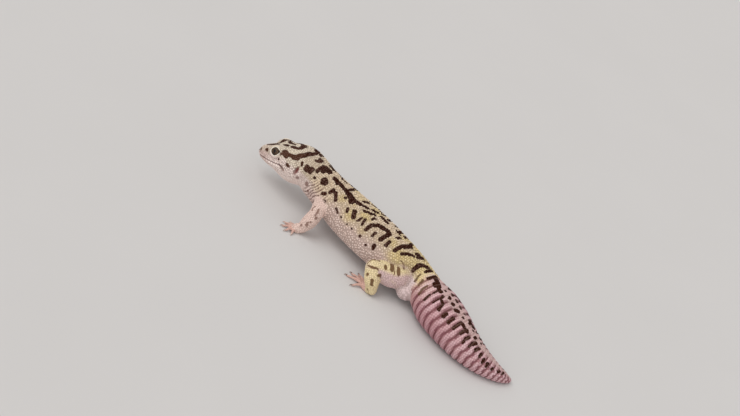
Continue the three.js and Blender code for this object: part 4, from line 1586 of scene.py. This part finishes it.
def limb_colour(w):
    """Pinkish arms, yellow legs that are pink below, brown spots and pale digits."""
    rear, digit = w.field("rear"), w.field("digit")
    on_rear = rear.rise(0.3, 0.7)
    leg = w.field("under").blend(LEG_YELLOW, LEG_PINK)
    leg = ((w.noise(2.6, 3.0) + 0.5).rise(0.45, 0.8) * 0.6).blend(leg, CREAM)
    leg = on_rear.blend(ARM_PINK, leg)
    spot = 1 - (w.field("spot") + w.noise(1.3, 3.0) * 0.8).rise(-0.05, 0.4)
    leg = (spot * (0.75 + rear * 0.15) * (1 - digit)).blend(leg, on_rear.blend(ARM_SPOT, LEG_SPOT))
    return digit.blend(leg, TOE_PINK)


def with_markings(w, colour, s, around, wide):
    """Brown and dark strokes with uneven edges, which fade towards the belly."""
    edge = w.noise(1.6, 3.0) * 1.1 + w.noise(6.0) * 0.5
    brown = (1 - (w.field("brown") + edge).rise(-0.3, 0.3)) * (1 - w.field("limb") * 0.8)
    colour = (brown * 0.85).blend(colour, BROWN)
    inside = (1 - (w.field("mark") + edge).rise(-0.1, 0.3)) * (1 - w.field("limb"))
    faint = (around + wide * 30).rise(80, 108) * (1 - tail_share(s, wide)) * 0.7
    dark = s.rise(27, 34).most(1 - around.rise(26, 44)).blend(HEAD_DARK, DARK)
    colour = (inside * (1 - faint)).blend(colour, dark)
    return (inside * faint * 0.85).blend(colour, FAINT_DARK)


def hide_colour(w, scales):
    """Colour of the skin, or of the scales on it, with its markings."""
    around, s = w.field("round").size(), w.field("along")
    wide = w.noise(5.0, 3.0)
    yellow = w.field("yellow") * (1 + wide * 1.2)
    tail = tail_share(s, wide) * (1 - yellow.rise(0.3, 0.8) * 0.6)
    colour = tail.blend(trunk_colour(s, around, wide, yellow), tail_colour(w, s, around, wide))
    colour = grooved(w, colour, s, around)
    colour = w.field("bulge").blend(colour, BULGE_PALE)
    colour = w.field("limb").blend(colour, limb_colour(w))
    # painted shade in the creases across the neck
    colour = (w.field("crease") * 0.95).blend(colour, CREASE_SHADE)
    # painted shade where the hind legs join the body
    colour = (w.field("join") * 0.35).blend(colour, CREASE_SHADE)
    if not scales:
        # painted shade: the skin much darker between tubercles, less dark where flat scales lie close
        colour = w.field("smooth").blend(colour.shade(0.64, 1.05), colour.shade(0.84, 1.05))
    colour = with_markings(w, colour, s, around, wide)
    # painted shade along the mouth's line
    colour = (w.field("mouth") * 0.6).blend(colour, MOUTH_SHADE)
    # painted shade in the nostrils
    colour = w.field("nostril").blend(colour, NOSTRIL_SHADE)
    return w.field("ear").blend(colour, EAR_RED)


def skin_wires(w):
    grains = w.cells(0.55)
    colour = (grains.rise(0.3, 0.62) * 0.3).blend(hide_colour(w, False), GRAIN_TAUPE)
    height = grains * -0.35 + w.noise(0.9, 4.0) * 0.3
    return {"Base Color": colour, "Roughness": 0.58 + w.noise(2.0) * 0.2, "Normal": height.bumped(0.5, 0.3)}


def scale_wires(w):
    """Painted shade darkens each scale towards its base, less on flat scales and on the flanks, and each is
    a little lighter or darker than the next.
    """
    colour = hide_colour(w, True)
    smooth, each = w.field("smooth"), w.field("each")
    # painted shade: each scale darker at its base than at its tip
    clear_of_base_shade = w.field("tip").rise(0.05, 0.7).most(smooth * 0.8)
    clear_of_base_shade = clear_of_base_shade.most(w.field("round").size().rise(52, 84) * 0.45)
    colour = clear_of_base_shade.blend(colour.shade(0.7), colour)
    colour = (each.rise(0.1, 0.9) * (1 - smooth * 0.6)).blend(colour, colour.shade(1.1, 0.85))
    bump = w.noise(0.25, 3.0).bumped(0.25, 0.1)
    return {"Base Color": colour, "Roughness": 0.52 + each * 0.12, "Normal": bump}


def lid_wires(w):
    rim = w.field("lid")
    colour = rim.between(-0.5, 4.5, 1.5).blend(hide_colour(w, True), LID_CREAM)
    colour = (1 - rim.rise(-1.6, -0.6)).blend(colour, LID_EDGE)
    bump = (w.cells(0.42) * -1).bumped(0.5, 0.2)
    return {"Base Color": colour, "Roughness": 0.45 + w.noise(1.0) * 0.1, "Normal": bump}


def eye_wires(w):
    """A wavy upright slit in a dark iris with paler veins."""
    off, across, rise = w.field("off"), w.field("across"), w.field("rise")
    slit = across.size() + (rise * 0.35 + 2).math("SINE")
    pupil = 1 - (slit + rise.size().rise(8, 24) * 9).rise(7.5, 9.0)
    iris = (w.noise(0.5, 5.0, 0.7) + 0.5).rise(0.38, 0.66).blend(IRIS_DARK, IRIS_VEIN)
    iris = (w.noise(1.6, 2.0) + 0.5).rise(0.35, 0.65).blend(iris, IRIS_SHADE)
    return {"Base Color": off.rise(29, 40).blend(pupil.blend(iris, PUPIL), EYE_SIDE)}


def claw_wires(w):
    colour = w.field("away").rise(5.0, 9.0).blend(CLAW_ROOT, CLAW_TIP)
    return {"Base Color": colour, "Normal": w.noise(0.4, 3.0).bumped(0.2, 0.1)}


def floor_wires(w):
    return {"Base Color": (w.noise(90.0, 4.0) + 0.5).blend(*PAPER)}


# ==== the gecko =======================================================================
def build_gecko():
    hide = material("hide", skin_wires, Specular_IOR_Level=0.02)
    scale = material("scale", scale_wires, Specular_IOR_Level=0.03)
    lid = material("eyelid", lid_wires, Specular_IOR_Level=0.12)
    wet = {"Roughness": 0.3, "Specular_IOR_Level": 0.1, "Coat_Weight": 0.3, "Coat_Roughness": 0.02}
    eye = material("eye", eye_wires, **wet)
    horn = material("claw_horn", claw_wires, Roughness=0.35)

    points, quads = fused(*flesh_shells())
    points = shaped(points, quads)
    normals = normals_of(points, quads)
    skin = piece("skin", points, quads, painted(points), hide)
    flesh = [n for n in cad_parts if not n.startswith(("eye_", "claw_"))]
    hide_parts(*flesh)

    tree = BVHTree.FromPolygons(points.tolist(), quads.tolist())
    places = skin_places(points, quads, normals)
    back_tubercles(tree, scale)
    head_scales(places, scale)
    lip_scales(tree, scale)
    belly_scales(places, scale)
    tail_scales(tree, scale)
    limb_scales(places, scale)
    for side, name in ((1, "left"), (-1, "right")):
        eyeball(side, name, eye)
        eyelids(side, name, lid)
    for limb in LIMBS.values():
        claws(limb, horn)


# ==== camera, floor and light =========================================================
VIEW = {"azimuth": 22, "elevation": 31, "roll": -29.2, "lens": 85, "distance": 893}
VIEW_AIM = (-0.131, -0.656)  # degrees that the trunk's middle lies off the line of sight
VIEW_MIDDLE = (0.0, 0.0, 15.0)


def build_camera():
    a, e = math.radians(VIEW["azimuth"]), math.radians(VIEW["elevation"])
    back = np.array([math.sin(a) * math.cos(e), -math.cos(a) * math.cos(e), math.sin(e)])
    level = np.array([math.cos(a), math.sin(a), 0.0])
    raised = np.cross(back, level)
    c, s = math.cos(math.radians(-VIEW["roll"])), math.sin(math.radians(-VIEW["roll"]))
    right, up = level * c + raised * s, raised * c - level * s
    aim_x, aim_y = (math.tan(math.radians(v)) for v in VIEW_AIM)
    place = np.array(VIEW_MIDDLE) + VIEW["distance"] * (back - right * aim_x - up * aim_y)
    data = bpy.data.cameras.new("camera")
    data.lens, data.sensor_width, data.clip_start, data.clip_end = VIEW["lens"], 36, 0.01, 100
    camera = put("camera", data)
    turn = Matrix([list(row) for row in np.stack([right, up, back], 1)]).to_4x4()
    camera.matrix_world = Matrix.Translation(Vector(to_part(place))) @ turn
    bpy.context.scene.camera = camera


FLOOR_REACH = 6.0  # metres


def build_floor():
    paper = material("studio_paper", floor_wires, Roughness=0.9, Specular_IOR_Level=0.1)
    mesh = bpy.data.meshes.new("floor")
    corners = [(x * FLOOR_REACH, y * FLOOR_REACH, 0) for x, y in ((-1, -1), (1, -1), (1, 1), (-1, 1))]
    mesh.from_pydata(corners, [], [(0, 1, 2, 3)])
    mesh.materials.append(paper)
    floor = put("floor", mesh)


def soft_light(name, place, spread, power, colour):
    """A distant light as wide as a soft box, shining from a place to the floor's middle."""
    data = bpy.data.lights.new(name, "SUN")
    data.angle, data.energy, data.color = math.radians(spread), power, colour
    light = put(name, data)
    light.location = place
    light.rotation_euler = (-Vector(place)).to_track_quat("-Z", "Y").to_euler()


def build_light():
    soft_light("key", (-0.5, -0.45, 1.0), 45, 0.97, (1.0, 0.985, 0.96))
    soft_light("fill", (0.3, -1.0, 0.45), 80, 0.85, (1.0, 0.99, 0.98))
    world = bpy.data.worlds.new("studio")
    world.use_nodes = True
    background = world.node_tree.nodes["Background"].inputs
    background["Color"].default_value = ROOM
    background["Strength"].default_value = 0.86
    bpy.context.scene.world = world
    bpy.context.scene.view_settings.view_transform = "Standard"


build_camera()
build_gecko()
build_floor()
build_light()
